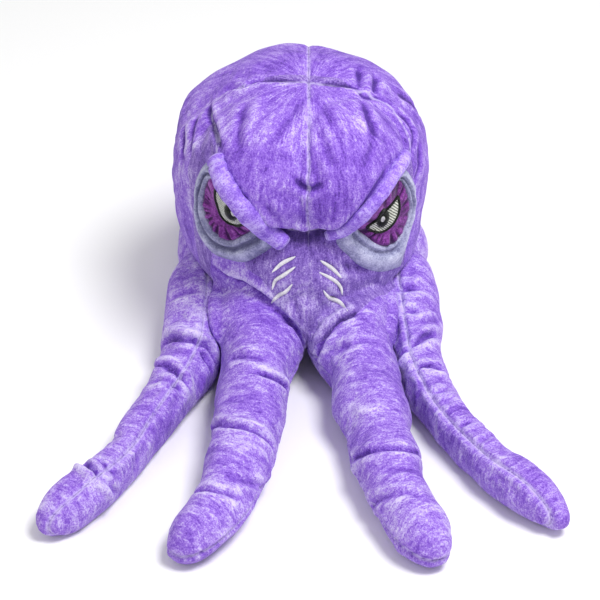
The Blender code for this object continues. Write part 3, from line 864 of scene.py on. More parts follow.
class Graph:
    """A Principled material with its shader, and short calls to add nodes to it."""

    def __init__(self, name, **sockets):
        self.material = bpy.data.materials.new(name)
        self.material.use_nodes = True
        self.tree = self.material.node_tree
        self.shader = self.tree.nodes["Principled BSDF"]
        for socket, value in sockets.items():
            self.shader.inputs[socket.replace("_", " ")].default_value = value

    def add(self, kind, inputs=(), **settings):
        node = self.tree.nodes.new("ShaderNode" + kind)
        for key, value in settings.items():
            setattr(node, key, value)
        for socket, value in dict(inputs).items():
            if isinstance(value, bpy.types.NodeSocket):
                self.tree.links.new(value, node.inputs[socket])
            else:
                node.inputs[socket].default_value = value
        return node

    def finish(self, **sockets):
        """Links the shader's sockets and returns the material."""
        for socket, output in sockets.items():
            self.tree.links.new(output, self.shader.inputs[socket.replace("_", " ")])
        return self.material

    def position(self):
        return self.add("TexCoord").outputs["Object"]

    def attribute(self, name, output="Fac"):
        return self.add("Attribute", attribute_name=name).outputs[output]

    def noise(self, vector, scale, detail=4.0, rough=0.6, bend=0.0):
        return self.add("TexNoise", {
            "Vector": vector, "Scale": scale, "Detail": detail, "Roughness": rough, "Distortion": bend,
        }).outputs["Fac"]

    def math(self, operation, first, second=0.0, third=0.0):
        return self.add("Math", {0: first, 1: second, 2: third}, operation=operation).outputs[0]

    def span(self, value, low, high, to_low=0.0, to_high=1.0):
        return self.add("MapRange", {
            "Value": value, "From Min": low, "From Max": high, "To Min": to_low, "To Max": to_high,
        }, interpolation_type="SMOOTHSTEP").outputs["Result"]

    def ramp(self, value, stops):
        node = self.add("ValToRGB", {"Fac": value})
        elements = node.color_ramp.elements
        while len(elements) < len(stops):
            elements.new(0.5)
        for element, (place, colour) in zip(elements, stops):
            element.position = place
            element.color = (*colour, 1.0)
        return node.outputs["Color"]

    def mix(self, share, first, colour):
        """The first colour with a share of a plain one."""
        return self.add("Mix", {"Factor": share, 6: first, 7: (*colour, 1.0)}, data_type="RGBA").outputs[2]

    def bump(self, height, distance, strength=1.0, below=None):
        inputs = {"Height": height, "Distance": distance, "Strength": strength}
        if below is not None:
            inputs["Normal"] = below
        return self.add("Bump", inputs).outputs["Normal"]


def plush_material(name, colours, contrast, fine):
    """Short-pile plush: pale and deep patches, streaks along the nap, painted highlights on ridges and
    painted shade in folds, fine pile.
    """
    g = Graph(name, Roughness=0.85, Sheen_Weight=0.14, Sheen_Roughness=0.4, Specular_IOR_Level=0.2)
    g.shader.inputs["Sheen Tint"].default_value = (0.86, 0.80, 1.0, 1.0)
    where = g.position()
    nap = g.attribute("nap", "Vector")
    relief = g.attribute("relief")
    seam = g.attribute("seam")
    patches = g.noise(where, 15.0, 4.0, 0.60, 0.6)
    mottle = g.noise(where, 55.0, 5.0, 0.68, 0.8)
    streaks = g.noise(nap, 120.0, 5.0, 0.66, 0.6)
    strands = g.noise(nap, 360.0, 3.0, 0.70, 0.8)
    clumps = g.noise(where, 210.0, 4.0, 0.72, 0.4)
    pile = g.noise(where, 700.0, 2.0, 0.7)
    # Painted light and shade: the folds' ridges are painted paler and their hollows deeper
    tone = g.math("MULTIPLY_ADD", relief, 85.0, 0.5)
    layers = (
        (patches, 0.80 * contrast), (mottle, 0.42 * contrast), (streaks, 0.95 * contrast),
        (strands, 0.70 * fine), (clumps, 0.50 * fine), (pile, 0.85 * fine),
    )
    for layer, weight in layers:
        tone = g.math("MULTIPLY_ADD", layer, weight, g.math("SUBTRACT", tone, weight / 2))
    # Painted shade: the darkest colour is mixed into the folds' hollows
    painted_crease_shade = g.span(relief, -PAINTED_SHADING_LIMIT, -0.0005, 0.62, 0.0)
    ridge = g.math("MULTIPLY", g.span(seam, 0.0004, 0.0026, 0.65, 0.0), g.span(clumps, 0.30, 0.55))
    stitch = g.span(seam, 0.0002, 0.0007, 0.45, 0.0)
    colour = g.mix(painted_crease_shade, g.ramp(tone, tuple(zip(TONES, colours))), colours[0])
    colour = g.mix(stitch, g.mix(ridge, colour, colours[3]), colours[0])
    bumps = g.bump(mottle, 0.0018, 0.5)
    bumps = g.bump(clumps, 0.0011, 0.7, bumps)
    bumps = g.bump(pile, 0.0009, 0.8, bumps)
    bumps = g.bump(g.span(seam, 0.0, 0.0012), 0.0006, 0.5, bumps)
    return g.finish(Base_Color=colour, Roughness=g.span(patches, 0.3, 0.7, 0.76, 0.92), Normal=bumps)


def thread_material(name, light, dark, pitch, slant=None):
    """Embroidery thread: rows of stitches round the piece, or across it where they slant one way."""
    g = Graph(name, Roughness=0.5, Sheen_Weight=0.02, Specular_IOR_Level=0.2)
    if slant:
        beat = g.add("VectorMath", {0: g.position(), 1: slant}, operation="DOT_PRODUCT").outputs["Value"]
    else:
        beat = g.attribute("turn")
    rows = g.math("SINE", g.math("MULTIPLY", beat, pitch))
    wander = g.noise(g.position(), 420.0, 3.0)
    tone = g.math("MULTIPLY_ADD", rows, 0.34 if slant else 0.28, 0.2)
    tone = g.math("MULTIPLY_ADD", wander, 0.7, tone)
    between = tuple(0.5 * (a + b) for a, b in zip(light, dark))
    return g.finish(
        Base_Color=g.ramp(tone, ((0.2, dark), (0.55, between), (0.75, light))),
        Roughness=g.span(wander, 0.3, 0.7, 0.4, 0.65),
        Normal=g.bump(rows, 0.0004, 0.5),
    )


def felt_material():
    """Pressed felt: matted short fibres with faint mottling."""
    g = Graph("violet_felt", Roughness=0.95)
    where = g.position()
    fibre = g.noise(where, 900.0, 3.0, 0.7, 1.5)
    mottle = g.noise(where, 60.0, 4.0)
    tone = g.math("MULTIPLY_ADD", mottle, 0.6, g.math("MULTIPLY", fibre, 0.5))
    return g.finish(
        Base_Color=g.ramp(tone, ((0.3, VIOLET[0]), (0.7, VIOLET[1]))),
        Roughness=g.span(fibre, 0.3, 0.7, 0.88, 1.0),
        Normal=g.bump(fibre, 0.0006, 0.8),
    )


class Skin:
    """A mesh's points and normals as arrays, with what is pressed into it so far."""

    def __init__(self, item):
        self.item = item
        self.points = points_of(item)
        self.normals = field_of(item.data.vertices, "normal", 3)
        self.lift = np.zeros(len(self.points))
        self.relief = np.zeros(len(self.points))
        self.seam = np.full(len(self.points), NO_SEAM)

    def press(self, points, depth, width, raised, over):
        """Presses one fold in: a valley along its points with raised sides."""
        route = catmull(points, 6)
        reach = FOLD_REACH * width
        low, high = route.min(0) - reach, route.max(0) + reach
        near = np.nonzero(((self.points > low) & (self.points < high)).all(1))[0]
        spots = self.points[near]
        legs = np.diff(route, axis=0)
        best = np.full(len(near), math.inf)
        share = np.zeros(len(near))
        side = np.zeros(len(near))
        for i, leg in enumerate(legs):
            t = np.clip(((spots - route[i]) @ leg) / (leg @ leg), 0, 1)
            offset = spots - route[i] - t[:, None] * leg
            distance = np.linalg.norm(offset, axis=1)
            closer = distance < best
            best[closer] = distance[closer]
            share[closer] = (i + t[closer]) / len(legs)
            left = np.cross(self.normals[near], leg / np.linalg.norm(leg))
            side[closer] = (offset * left).sum(1)[closer]
        fade = smooth_step(0.0, FOLD_FADE, share) * smooth_step(0.0, FOLD_FADE, 1 - share)
        across = valley(best, width, RIDGE_SHARE * raised, RIDGE_AT * width, RIDGE_WIDTH * width)
        step = over * np.clip(side / width, -1, 1) * np.exp(-(best / (3 * width)) ** 2)
        amount = depth * (FOLD_END + (1 - FOLD_END) * fade) * (across + step)
        self.lift[near] += amount
        # Painted shade in the fold's valley and painted light on its raised sides
        self.relief[near] += amount

    def press_folds(self, name):
        """Presses in the folds listed under that name."""
        for points, depth, width, raised, over in FOLDS[name]:
            self.press(metres(points), depth / 1000, width / 1000, raised, over)

    def groove(self, field, depth, width, raised):
        """A sewn seam where the field, in metres, is zero."""
        distance = np.abs(field)
        amount = depth * valley(distance, width, raised, 2.4 * width, 1.4 * width)
        self.lift += amount
        # Painted shade in the seam's valley and painted light on its raised sides, at half strength
        self.relief += 0.5 * amount
        self.seam = np.minimum(self.seam, distance)

    def waves(self, seed, length, height, weight=1.0):
        """Soft unevenness of the filling: crossed waves of about that length."""
        draw = np.random.default_rng(seed)
        total = np.zeros(len(self.points))
        for _ in range(WAVE_COUNT):
            way = draw.normal(size=3)
            way /= np.linalg.norm(way)
            pitch = length * draw.uniform(0.7, 1.5)
            total += np.sin(self.points @ way * (2 * math.pi / pitch) + draw.uniform(0, 2 * math.pi))
        amount = height * total / math.sqrt(WAVE_COUNT / 2) * weight
        self.lift += amount
        # Faint painted light on the waves' crests and painted shade in their troughs
        self.relief += 0.08 * amount

    def tuck(self, tentacle):
        """Draws the skin in where a side tentacle comes out of it."""
        at = tentacle.place(self.points)
        gap = (at.ratio - 1) * tentacle.height[at.index]
        beside = np.abs(at.along - tentacle.along[at.index]) < TUCK_WIDTH
        amount = beside * np.exp(-(gap / TUCK_WIDTH) ** 2) * smooth_step(*TUCK_FADE, self.points[:, 2])
        self.lift -= TUCK_DEPTH * amount
        # Painted shade where the skin is drawn in
        self.relief -= 0.5 * TUCK_DEPTH * amount

    def beyond(self, tentacle, start):
        """The points further forward or back than that, on the tentacle's side of the middle seam."""
        x, y, _ = self.points.T
        tip = tentacle.line[-1]
        return np.nonzero((y * np.sign(tip[1]) > start) & ((x < SEAM_X) == (tip[0] < 0)))[0]

    def side_seams(self, tentacle):
        """The seam down both sides of a front or rear tentacle."""
        near = self.beyond(tentacle, SIDE_SEAM_START)
        distance = np.abs(tentacle.place(self.points[near]).up + SIDE_SEAM_DROP)
        amount = valley(distance, *SIDE_SEAM_VALLEY)
        self.lift[near] += SIDE_SEAM_DEPTH * amount
        self.relief[near] += SIDE_SEAM_SHADE * amount
        self.seam[near] = np.minimum(self.seam[near], distance)

    def ring_folds(self, tentacle, folds):
        """Folds across a rear tentacle, deeper on one side than on the other."""
        draw = np.random.default_rng(len(tentacle.name))
        near = self.beyond(tentacle, REAR_START)
        at = tentacle.place(self.points[near])
        turn = np.arctan2(at.up / tentacle.height[at.index], at.across / tentacle.width[at.index])
        for back, depth, width in metres(folds):
            start = tentacle.along[np.abs(tentacle.line[:, 1] - back).argmin()]
            slant = draw.uniform(-0.22, 0.22)
            phase = draw.uniform(0, 2 * math.pi)
            bent = draw.uniform(0, 2 * math.pi)
            distance = at.along - start - slant * at.across - 0.0025 * np.sin(2 * turn + bent)
            strength = depth * (0.5 + 0.5 * np.sin(turn + phase)) ** 1.5
            amount = strength * valley(
                np.abs(distance), width, RIDGE_SHARE, RIDGE_AT * width, RIDGE_WIDTH * width
            )
            self.lift[near] += amount
            # Painted shade in the ring folds and painted light on their ridges
            self.relief[near] += amount

    def settle(self):
        """Moves the points by what was pressed in, and lays the underside flat on the floor."""
        self.points += self.normals * self.lift[:, None]
        radius = np.hypot(*self.points[:, :2].T)
        rest = FLOOR_Z + BASE_ROOM * smooth_step(BASE_EDGE, BASE_EDGE - BASE_BEVEL, radius)
        self.points[:, 2] = np.maximum(self.points[:, 2], rest)
        mesh = self.item.data
        mesh.vertices.foreach_set("co", self.points.ravel())
        # Stores the painted light and shade, kept within its limit
        store(mesh, "relief", np.clip(self.relief, -PAINTED_SHADING_LIMIT, PAINTED_SHADING_LIMIT))
        store(mesh, "seam", self.seam)
        mesh.update()


def angle_field(points, border, way, middle):
    """Distance outside (or, below 0, inside) a border that goes round a direction once."""
    way = unit(way)
    right, above = axes(way)

    def polar(spots):
        ray = spots - middle
        size = np.linalg.norm(ray, axis=1)
        open_angle = np.arccos(np.clip(ray @ way / size, -1, 1))
        return np.arctan2(ray @ above, ray @ right), open_angle, size

    turn, open_angle, _ = polar(closed_curve(border, 6))
    own_turn, own_angle, size = polar(points)
    return (own_angle - np.interp(own_turn, *three_rounds(turn, open_angle))) * size


def root_field(points, name, way):
    """Positive on the tentacle, negative on the head, in metres."""
    reach = way * points[:, 1] * math.cos(ROOT_TILT) - points[:, 2] * math.sin(ROOT_TILT)
    out, line = metres(ROOT_LINES[name]).T
    return reach - np.interp(np.abs(points[:, 0] - SEAM_X * (way < 0)), out, line)


def trunk_fields(points):
    """The borders between the trunk's panels: each is zero on its seam."""
    x, y, z = points.T
    roots = [root_field(points, "front_" + side, -1.0) for side in ("left", "right")]
    return {
        "middle": x - SEAM_X,
        "back": y - BACK_Y - BACK_TILT * (BACK_Z - z),
        "forehead": angle_field(points, metres(FOREHEAD_BORDER), FOREHEAD_WAY, HEAD_MIDDLE),
        "cheek": (np.arctan2(np.abs(x), -y) - CHEEK_AZIMUTH) * CHEEK_RADIUS,
        "front_ring": FRONT_RING_Y - y,
        "rear_ring": y - REAR_RING_Y,
        "front_root": np.where(x < SEAM_X, *roots),
        "rear_root": root_field(points, "rear", 1.0),
    }


def trunk_panel(values):
    """The panel's name for each face, from the fields at its middle."""
    side = np.where(values["middle"] < 0, "_left", "_right")
    names = np.where(values["cheek"] < 0, "face", "temple").astype("<U32")
    names[values["forehead"] < 0] = "forehead"
    names[values["back"] > 0] = "back"
    names = np.char.add(names, side)
    for end in ("front", "rear"):
        upper = values[end + "_root"] > 0
        lower = upper & (values[end + "_ring"] > 0)
        names[upper] = np.char.add(np.char.add(end, side), "_upper")[upper]
        names[lower] = np.char.add(np.char.add(end, side), "_lower")[lower]
    return names


def cut_along(item, fields):
    """Cuts the mesh's faces exactly along the zero line of each field."""
    mesh = item.data
    for name, values in fields.items():
        store(mesh, "cut_" + name, values)
    bm = bmesh.new()
    bm.from_mesh(mesh)
    for name in fields:
        layer = bm.verts.layers.float["cut_" + name]
        crossed = [e for e in bm.edges if e.verts[0][layer] * e.verts[1][layer] < 0]
        touched = set()
        for edge in crossed:
            first, second = edge.verts
            a, b = first[layer], second[layer]
            if a * b >= 0:
                continue
            share = a / (a - b)
            if share < SNAP:
                first[layer] = 0.0
                touched.update(first.link_faces)
            elif share > 1 - SNAP:
                second[layer] = 0.0
                touched.update(second.link_faces)
            else:
                touched.update(edge.link_faces)
                _, fresh = bmesh.utils.edge_split(edge, first, share)
                fresh[layer] = 0.0
        for face in touched:
            on_line = [v for v in face.verts if v[layer] == 0.0]
            if len(on_line) != 2:
                continue
            signs = [v[layer] for v in face.verts if v[layer] != 0.0]
            if min(signs) < 0 < max(signs):
                bmesh.utils.face_split(face, on_line[0], on_line[1])
    bm.to_mesh(mesh)
    bm.free()


def carve(item, fields, panel):
    """The item's faces as one object for each panel name; the item is removed."""
    cut_along(item, fields)
    mesh = item.data
    points = points_of(item)
    sizes = field_of(mesh.polygons, "loop_total", kind=int)
    corners = field_of(mesh.loops, "vertex_index", kind=int)
    starts = np.concatenate([[0], np.cumsum(sizes)[:-1]])
    names = panel({
        name: np.add.reduceat(read(mesh, "cut_" + name)[corners], starts) / sizes for name in fields
    })
    relief, seam = read(mesh, "relief"), read(mesh, "seam")
    pieces = {}
    for name in sorted(set(names)):
        chosen = np.nonzero(names == name)[0]
        loops = np.concatenate([np.arange(starts[i], starts[i] + sizes[i]) for i in chosen])
        used, index = np.unique(corners[loops], return_inverse=True)
        rows = np.split(index, np.cumsum(sizes[chosen])[:-1])
        made = bpy.data.meshes.new(name)
        made.from_pydata(points[used].tolist(), [], [row.tolist() for row in rows])
        store(made, "relief", relief[used])
        store(made, "seam", seam[used])
        made.update()
        pieces[str(name)] = add_object(name, made)
    bpy.data.objects.remove(item)
    return pieces


def sculpt_trunk(item, tentacles):
    """Presses the folds and seams into the trunk; gives its panels, and its surface before the cut."""
    skin = Skin(item)
    _, y, z = skin.points.T
    fields = trunk_fields(skin.points)
    skin.waves(seed=3, length=0.075, height=0.0009, weight=1.0 + 0.9 * smooth_step(0.0, 0.06, y))
    skin.waves(seed=5, length=0.032, height=0.0003)
    skin.groove(fields["middle"], depth=0.0007, width=0.0016, raised=0.7)
    skin.seam += SNOUT_FADE * smooth_step(0.165, 0.150, z) * (y < 0)
    skin.seam = np.minimum(skin.seam, np.where(fields["back"] > 0, NO_SEAM, np.abs(fields["forehead"])))
    for name in ("head", "roots", "front_left", "front_right"):
        skin.press_folds(name)
    for points in WRINKLES.values():
        skin.press(metres(points), *WRINKLE_PRESS)
    for points in BROWS.values():
        skin.press(metres(points) + BROW_CREASE, *BROW_PRESS)
    for name, tentacle in tentacles.items():
        if "side" in name:
            skin.tuck(tentacle)
        else:
            skin.side_seams(tentacle)
        if name in ("rear_left", "rear_right"):
            skin.ring_folds(tentacle, REAR_FOLDS)
    skin.settle()
    surface = Surface(item)
    return carve(item, fields, trunk_panel), surface


def sculpt_side(item, tentacle):
    """A side tentacle: its folds, its seam along the top, and its two casings."""
    name = tentacle.name
    skin = Skin(item)
    top = tentacle.place(skin.points).across + SEAM_OFFSETS.get(name, 0.0)
    skin.waves(seed=len(name) + 7, length=0.05, height=0.0007)
    skin.groove(top, depth=0.0012, width=0.0016, raised=0.6)
    if name in FOLDS:
        skin.press_folds(name)
        ring = SIDE_RING_Y - skin.points[:, 1]
    else:
        skin.ring_folds(tentacle, REAR_SIDE_FOLDS)
        ring = skin.points[:, 1] - REAR_SIDE_RING_Y
    skin.settle()

    def panel(values):
        return np.where(values["ring"] > 0, name + "_lower", name + "_upper")
    return carve(item, {"ring": ring, "top": top}, panel)


class Surface:
    """A mesh to lay other pieces on."""

    def __init__(self, item):
        mesh = item.data
        spots = [v.co.copy() for v in mesh.vertices]
        self.tree = BVHTree.FromPolygons(spots, [tuple(p.vertices) for p in mesh.polygons])

    def lay(self, points):
        """The points moved along the face's way until they are on the surface."""
        laid = []
        for point in points:
            start = Vector(point) + FACE_WAY * LAY_START
            spot, _, _, _ = self.tree.ray_cast(start, -FACE_WAY, LAY_REACH)
            if spot is None:
                spot, _, _, _ = self.tree.find_nearest(Vector(point))
            laid.append(spot)
        return np.array(laid)

    def lay_grid(self, inner, outer, rows, rounds=30):
        """Rows of points from the inner border to the outer one, laid and evened out."""
        shares = np.linspace(0.0, 1.0, rows)[:, None, None]
        grid = inner[None] * (1 - shares) + outer[None] * shares
        grid = self.lay(grid.reshape(-1, 3)).reshape(grid.shape)
        for _ in range(rounds):
            round_mean = (np.roll(grid, 1, 1) + np.roll(grid, -1, 1)) / 2
            row_mean = (grid[:-2] + grid[2:]) / 2
            grid[1:-1] = 0.4 * grid[1:-1] + 0.3 * round_mean[1:-1] + 0.3 * row_mean
            grid[0] = 0.5 * grid[0] + 0.5 * round_mean[0]
        return grid


def normals_of(grid):
    """Outward normals of a grid of points whose second direction closes on itself."""
    round_way = np.roll(grid, -1, 1) - np.roll(grid, 1, 1)
    normal = np.cross(np.gradient(grid, axis=0), round_way)
    normal /= np.linalg.norm(normal, axis=2)[..., None] + 1e-12
    normal[(normal * (grid - HEAD_MIDDLE)).sum(2) < 0] *= -1
    return normal


def grid_piece(name, grid, rise, filled=True):
    """A sheet from a grid that closes on itself, raised by that much; filled closes its middle."""
    grid = grid + normals_of(grid) * rise[..., None]
    rows, columns = grid.shape[:2]
    bm, loops = bridge(grid)
    if filled:
        tip = bm.verts.new(grid[0].mean(0))
        for j in range(columns):
            bm.faces.new((tip, loops[0][j], loops[0][(j + 1) % columns]))
    bmesh.ops.recalc_face_normals(bm, faces=bm.faces[:])
    bm.normal_update()
    middle = Vector(HEAD_MIDDLE)
    outward = sum(f.normal.dot(f.calc_center_median() - middle) * f.calc_area() for f in bm.faces)
    if outward < 0:
        bmesh.ops.reverse_faces(bm, faces=bm.faces[:])
    piece = add_mesh(name, bm)
    piece.data.shade_smooth()
    turn = np.tile(np.linspace(0, 1, columns, endpoint=False), rows)
    store(piece.data, "turn", np.append(turn, 0.0) if filled else turn)
    store_pile(piece.data, points_of(piece) * 0.5)
    return piece


def finish_piece(piece, material, slot, node=None, fill=None, shell=True):
    """Gives a small sewn-on piece its cloth, body and finish."""
    if shell:
        thicken(piece)
    piece.data.materials.clear()
    piece.data.materials.append(material)
    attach(piece, "body")
    if node:
        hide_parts(node)


class Eye:
    """One eye: a puffy surround, a crinkled patch, and an embroidered iris, outline and discs."""

    def __init__(self, side, materials):
        self.side = side
        self.materials = materials
        self.right, self.above = axes(EYE_WAYS[side])
        self.turns = np.linspace(-math.pi, math.pi, EYE_POINTS, endpoint=False)
        self.places = {name: metres(rows) for name, rows in EYES[side].items()}
        self.middle = self.places["middle"]
        self.surround = self.spread(self.places["surround"], self.middle)
        self.patch = self.spread(self.places["patch"], self.middle)
        self.iris_border = self.places["iris"]
        self.iris_middle = self.iris_border.mean(0)

    def spread(self, border, middle):
        """A closed border's points at even turns round its middle."""
        smooth = closed_curve(border, 8)
        offset = smooth - middle
        turn, smooth = three_rounds(np.arctan2(offset @ self.above, offset @ self.right), smooth)
        return np.column_stack([np.interp(self.turns, turn, smooth[:, k]) for k in range(3)])

    def finish(self, piece, material, *more):
        finish_piece(piece, self.materials[material], *more)

    def add_surround(self, surface):
        """The puffy ring of plush, with a groove round it."""
        _, groove_at, groove_depth, shade = EYE_LOOKS[self.side]
        turns = self.turns
        ring = surface.lay_grid(self.patch * 0.94 + self.middle * 0.06, self.surround, SURROUND_ROWS)
        shares = np.linspace(0, 1, SURROUND_ROWS)[:, None]
        groove_at = groove_at + 0.05 * np.sin(2 * turns + 1)
        groove = np.exp(-((shares - groove_at) / GROOVE_SPREAD) ** 2)
        puff = SURROUND_PUFF * np.sin(math.pi * shares ** 0.85) ** 0.55 - groove_depth * groove
        puff = puff + 0.0004 * np.sin(9 * turns + 3 * np.sin(2 * turns)) * shares - 0.0006
        name = "eye_surround_" + self.side
        piece = grid_piece(name, ring, puff, False)
        # Painted shade in the groove, painted light on the puff beyond it, and the eye's painted tone
        relief = 0.0014 * np.exp(-((shares - groove_at - 0.28) / 0.14) ** 2) - 0.0016 * groove + shade
        store(piece.data, "relief", relief.ravel())
        self.finish(piece, "grey_plush", "grey_plush", name, 0.5)

    def add_patch(self, surface):
        """The crinkled patch; gives its surface."""
        draw = np.random.default_rng(EYE_LOOKS[self.side][0])
        inner = self.middle + (self.patch - self.middle) * PATCH_START
        disc = surface.lay_grid(inner, self.patch, PATCH_ROWS)
        shares = np.linspace(PATCH_START, 1, PATCH_ROWS)[:, None]
        crinkle = np.zeros((PATCH_ROWS, EYE_POINTS))
        for _ in range(CRINKLES):
            beat, phase, bend = draw.integers(7, 26), draw.uniform(0, 6.3), draw.uniform(-2.5, 2.5)
            crinkle += np.sin(beat * self.turns + phase + bend * shares) / CRINKLES ** 0.5
        where = smooth_step(0.40, 0.75, shares) * (1 - smooth_step(0.86, 0.98, shares))
        rise = 0.0030 - 0.0032 * smooth_step(0.84, 1.0, shares) + 0.0009 * crinkle * where
        name = "eye_patch_" + self.side
        piece = grid_piece(name, disc, rise)
        # Painted shade in the crinkles' hollows and faint painted light on their crests
        store(piece.data, "relief", np.append((0.0030 * np.minimum(crinkle, 0.3) * where).ravel(), 0.0))
        self.finish(piece, "magenta_plush", "magenta_plush", name, 0.3)
        return Surface(piece)

    def add_iris(self, surface):
        middle = self.iris_middle
        rim = self.spread(self.iris_border, middle)
        disc = surface.lay_grid(middle + (rim - middle) * DISC_START, rim, IRIS_ROWS, 12)
        rise = IRIS_RISE + np.tile(0.00022 * np.sin(64 * self.turns), (IRIS_ROWS, 1))
        name = "iris_" + self.side
        self.finish(grid_piece(name, disc, rise), "iris_thread", "iris_thread", name)

    def add_outline(self, surface):
        """The dark rim round the iris: a rounded band of thread."""
        thin, wide = (
            self.spread(self.iris_middle + (self.iris_border - self.iris_middle) * share, self.iris_middle)
            for share in OUTLINE_SHARES
        )
        band = surface.lay_grid(thin, wide, OUTLINE_ROWS, 8)
        shares = np.linspace(0, 1, OUTLINE_ROWS)[:, None]
        rise = OUTLINE_RISE * np.sin(math.pi * shares) ** 0.6 * (1 + 0.12 * np.sin(72 * self.turns))
        self.finish(grid_piece("eye_outline_" + self.side, band, rise, False), "dark_thread", "dark_thread")

    def add_discs(self, surface):
        """Round discs of thread on the iris, cut off where they would pass its border."""
        round_way = np.cos(self.turns)[:, None] * self.right + np.sin(self.turns)[:, None] * self.above
        for kind, (size, lift, material, slot, in_cad) in EYE_DISCS.items():
            spot = self.places["glint" if kind == "glint" else "pupil"]
            room = np.linalg.norm(self.spread(self.iris_border, spot) - spot, axis=1)
            rim = spot + np.minimum(size, 0.97 * room)[:, None] * round_way
            disc = surface.lay_grid(spot + (rim - spot) * DISC_START, rim, DISC_ROWS, 4)
            fall = 1 - 0.5 * smooth_step(0.75, 1.0, np.linspace(0, 1, DISC_ROWS)[:, None])
            rise = lift * fall + 0.00015 * np.sin(36 * self.turns)
            name = kind + "_" + self.side
            self.finish(grid_piece(name, disc, rise), material, slot, name if in_cad else None)


def add_brow(side, surface, material):
    """A stuffed roll of plush sewn on over an eye, with stitched ends."""
    half_width, half_height, notches, phase, far_end = BROW_SIZES[side]
    line = surface.lay(catmull(metres(BROWS[side]), 16))
    relax(line, 40)
    heading = unit(np.gradient(line, axis=0))
    out = unit(line - HEAD_MIDDLE) + 0.6 * np.array(FACE_WAY)
    out = unit(out - (out * heading).sum(1)[:, None] * heading)
    across = np.cross(heading, out)
    along = lengths(line)
    turns = full_turn(BROW_SIDES)
    flat = np.where(np.sin(turns) < 0, 0.55, 1.0)
    rows = []
    for i, start in enumerate(along):
        near_end = min(start, (along[-1] - start) * far_end)
        size = 0.80 + 0.20 * smooth_step(0.0, 0.006, near_end)
        if near_end < BROW_END:
            size *= 0.68 + 0.32 * math.sqrt(max(0.0, 1 - (1 - near_end / BROW_END) ** 2))
        for notch in notches:
            size *= 1 - 0.22 * math.exp(-((start - notch) / NOTCH_WIDTH) ** 2)
        wave = 1 + 0.045 * math.sin(start * 210 + phase) + 0.03 * math.sin(start * 470 + 2 * phase)
        spot = line[i] + out[i] * (BROW_LIFT + BROW_RISE * smooth_step(0.0, 0.020, start))
        wide = half_width * size * wave * np.cos(turns)
        high = half_height * size * flat * np.sin(turns)
        rows.append(spot + across[i] * wide[:, None] + out[i] * high[:, None])
    name = "brow_" + side
    piece = tube_piece(name, np.array(rows))
    seam = np.full(len(along), NO_SEAM)
    for stitched in (*notches, END_STITCH, along[-1] - END_STITCH):
        seam = np.minimum(seam, np.abs(along - stitched))
    round_way = np.tile(np.column_stack([np.cos(turns), np.sin(turns)]) * 0.004, (len(along), 1))
    nap = np.column_stack([np.repeat(along, BROW_SIDES), round_way])
    # Painted light on the brow's outer side and painted shade on its inner side, and painted a little paler
    # all over
    relief = np.tile(0.0018 * np.sin(turns) + 0.0006, len(along))
    store_pile(piece.data, nap, relief, np.repeat(seam, BROW_SIDES))
    refine(piece)
    piece.data.shade_smooth()
    finish_piece(piece, material, "plush", name, 0.8, False)


def add_wrinkle(name, points, surface, material):
    """One row of satin stitches across the snout."""
    route = surface.lay(catmull(metres(points), 20))
    relax(route, 12)
    out = np.array((0.0, -0.96, 0.28))
    side = unit(np.cross(unit(np.gradient(route, axis=0)), out))
    along = lengths(route)
    even = np.linspace(0, along[-1], 2 * int(along[-1] / WRINKLE_STEP))
    route, side = (
        np.column_stack([np.interp(even, along, rows[:, k]) for k in range(3)]) for rows in (route, side)
    )
    width = WRINKLE_WIDTH * np.clip(np.sin(math.pi * even / along[-1]), 0, 1) ** 0.6 + 0.0001
    width *= 1 + 0.10 * np.sin(even * (2 * math.pi / THREAD_PITCH))
    turns = full_turn(WRINKLE_SIDES)
    wide = width[:, None] * np.cos(turns)
    high = 0.85 * width[:, None] * np.sin(turns)
    spot = route + out * 0.0004
    piece = tube_piece(name, spot[:, None] + side[:, None] * wide[..., None] + out * high[..., None])
    store(piece.data, "turn", np.repeat(even, WRINKLE_SIDES))
    finish_piece(piece, material, "white_thread", name, shell=False)


def add_features(surface, materials):
    """The eyes, the brows over them, and the wrinkles on the snout."""
    for side in EYES:
        eye = Eye(side, materials)
        eye.add_surround(surface)
        patch = eye.add_patch(surface)
        eye.add_iris(patch)
        eye.add_outline(patch)
        eye.add_discs(patch)
    for side in BROWS:
        add_brow(side, surface, materials["brow_plush"])
    for name, points in WRINKLES.items():
        add_wrinkle("wrinkle_" + name, points, surface, materials["white_thread"])


def nap_of_tentacle(tentacle, points):
    """The pile is brushed across the tentacle."""
    at = tentacle.place(points)
    return np.column_stack([at.along, at.across * NAP_STRETCH, at.up * NAP_STRETCH])


def nap_of_head(points):
    """The pile is brushed down from the top of the forehead."""
    offset = points - NAP_TOP
    down = np.linalg.norm(offset, axis=1)
    azimuth = np.arctan2(offset[:, 0], -offset[:, 1])
    return np.column_stack([down * NAP_STRETCH, NAP_ROUND * np.cos(azimuth), NAP_ROUND * np.sin(azimuth)])


def bend_root(piece, name):
    """Bends a panel from the head to a tentacle's upper half, round the tentacle's root."""
    way = -1.0 if name.startswith(("front", "side")) else 1.0
    if "side" in name:
        x, y, z = JOINTS[name + "_root_sweep"]["pos_m"]
        start, end = ((x, y + way * reach, z) for reach in SIDE_ZONE)
    else:
        line = Vector((0.0, way * math.cos(ROOT_TILT), -math.sin(ROOT_TILT)))
        start, end = (line * reach for reach in ROOT_ZONE)
    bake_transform(piece, "body", name + "_upper", start, end)


def bend_elbow(piece, tentacle):
    """Bends a tentacle's lower casing from its upper half round the elbow."""
    elbow = np.array(JOINTS[tentacle.name + "_elbow_curl"]["pos_m"])
    nearest = np.linalg.norm(tentacle.line - elbow, axis=1).argmin()
    reach = tentacle.heading[nearest] * ELBOW_REACH
    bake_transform(piece, tentacle.name + "_upper", tentacle.name + "_lower", elbow - reach, elbow + reach)


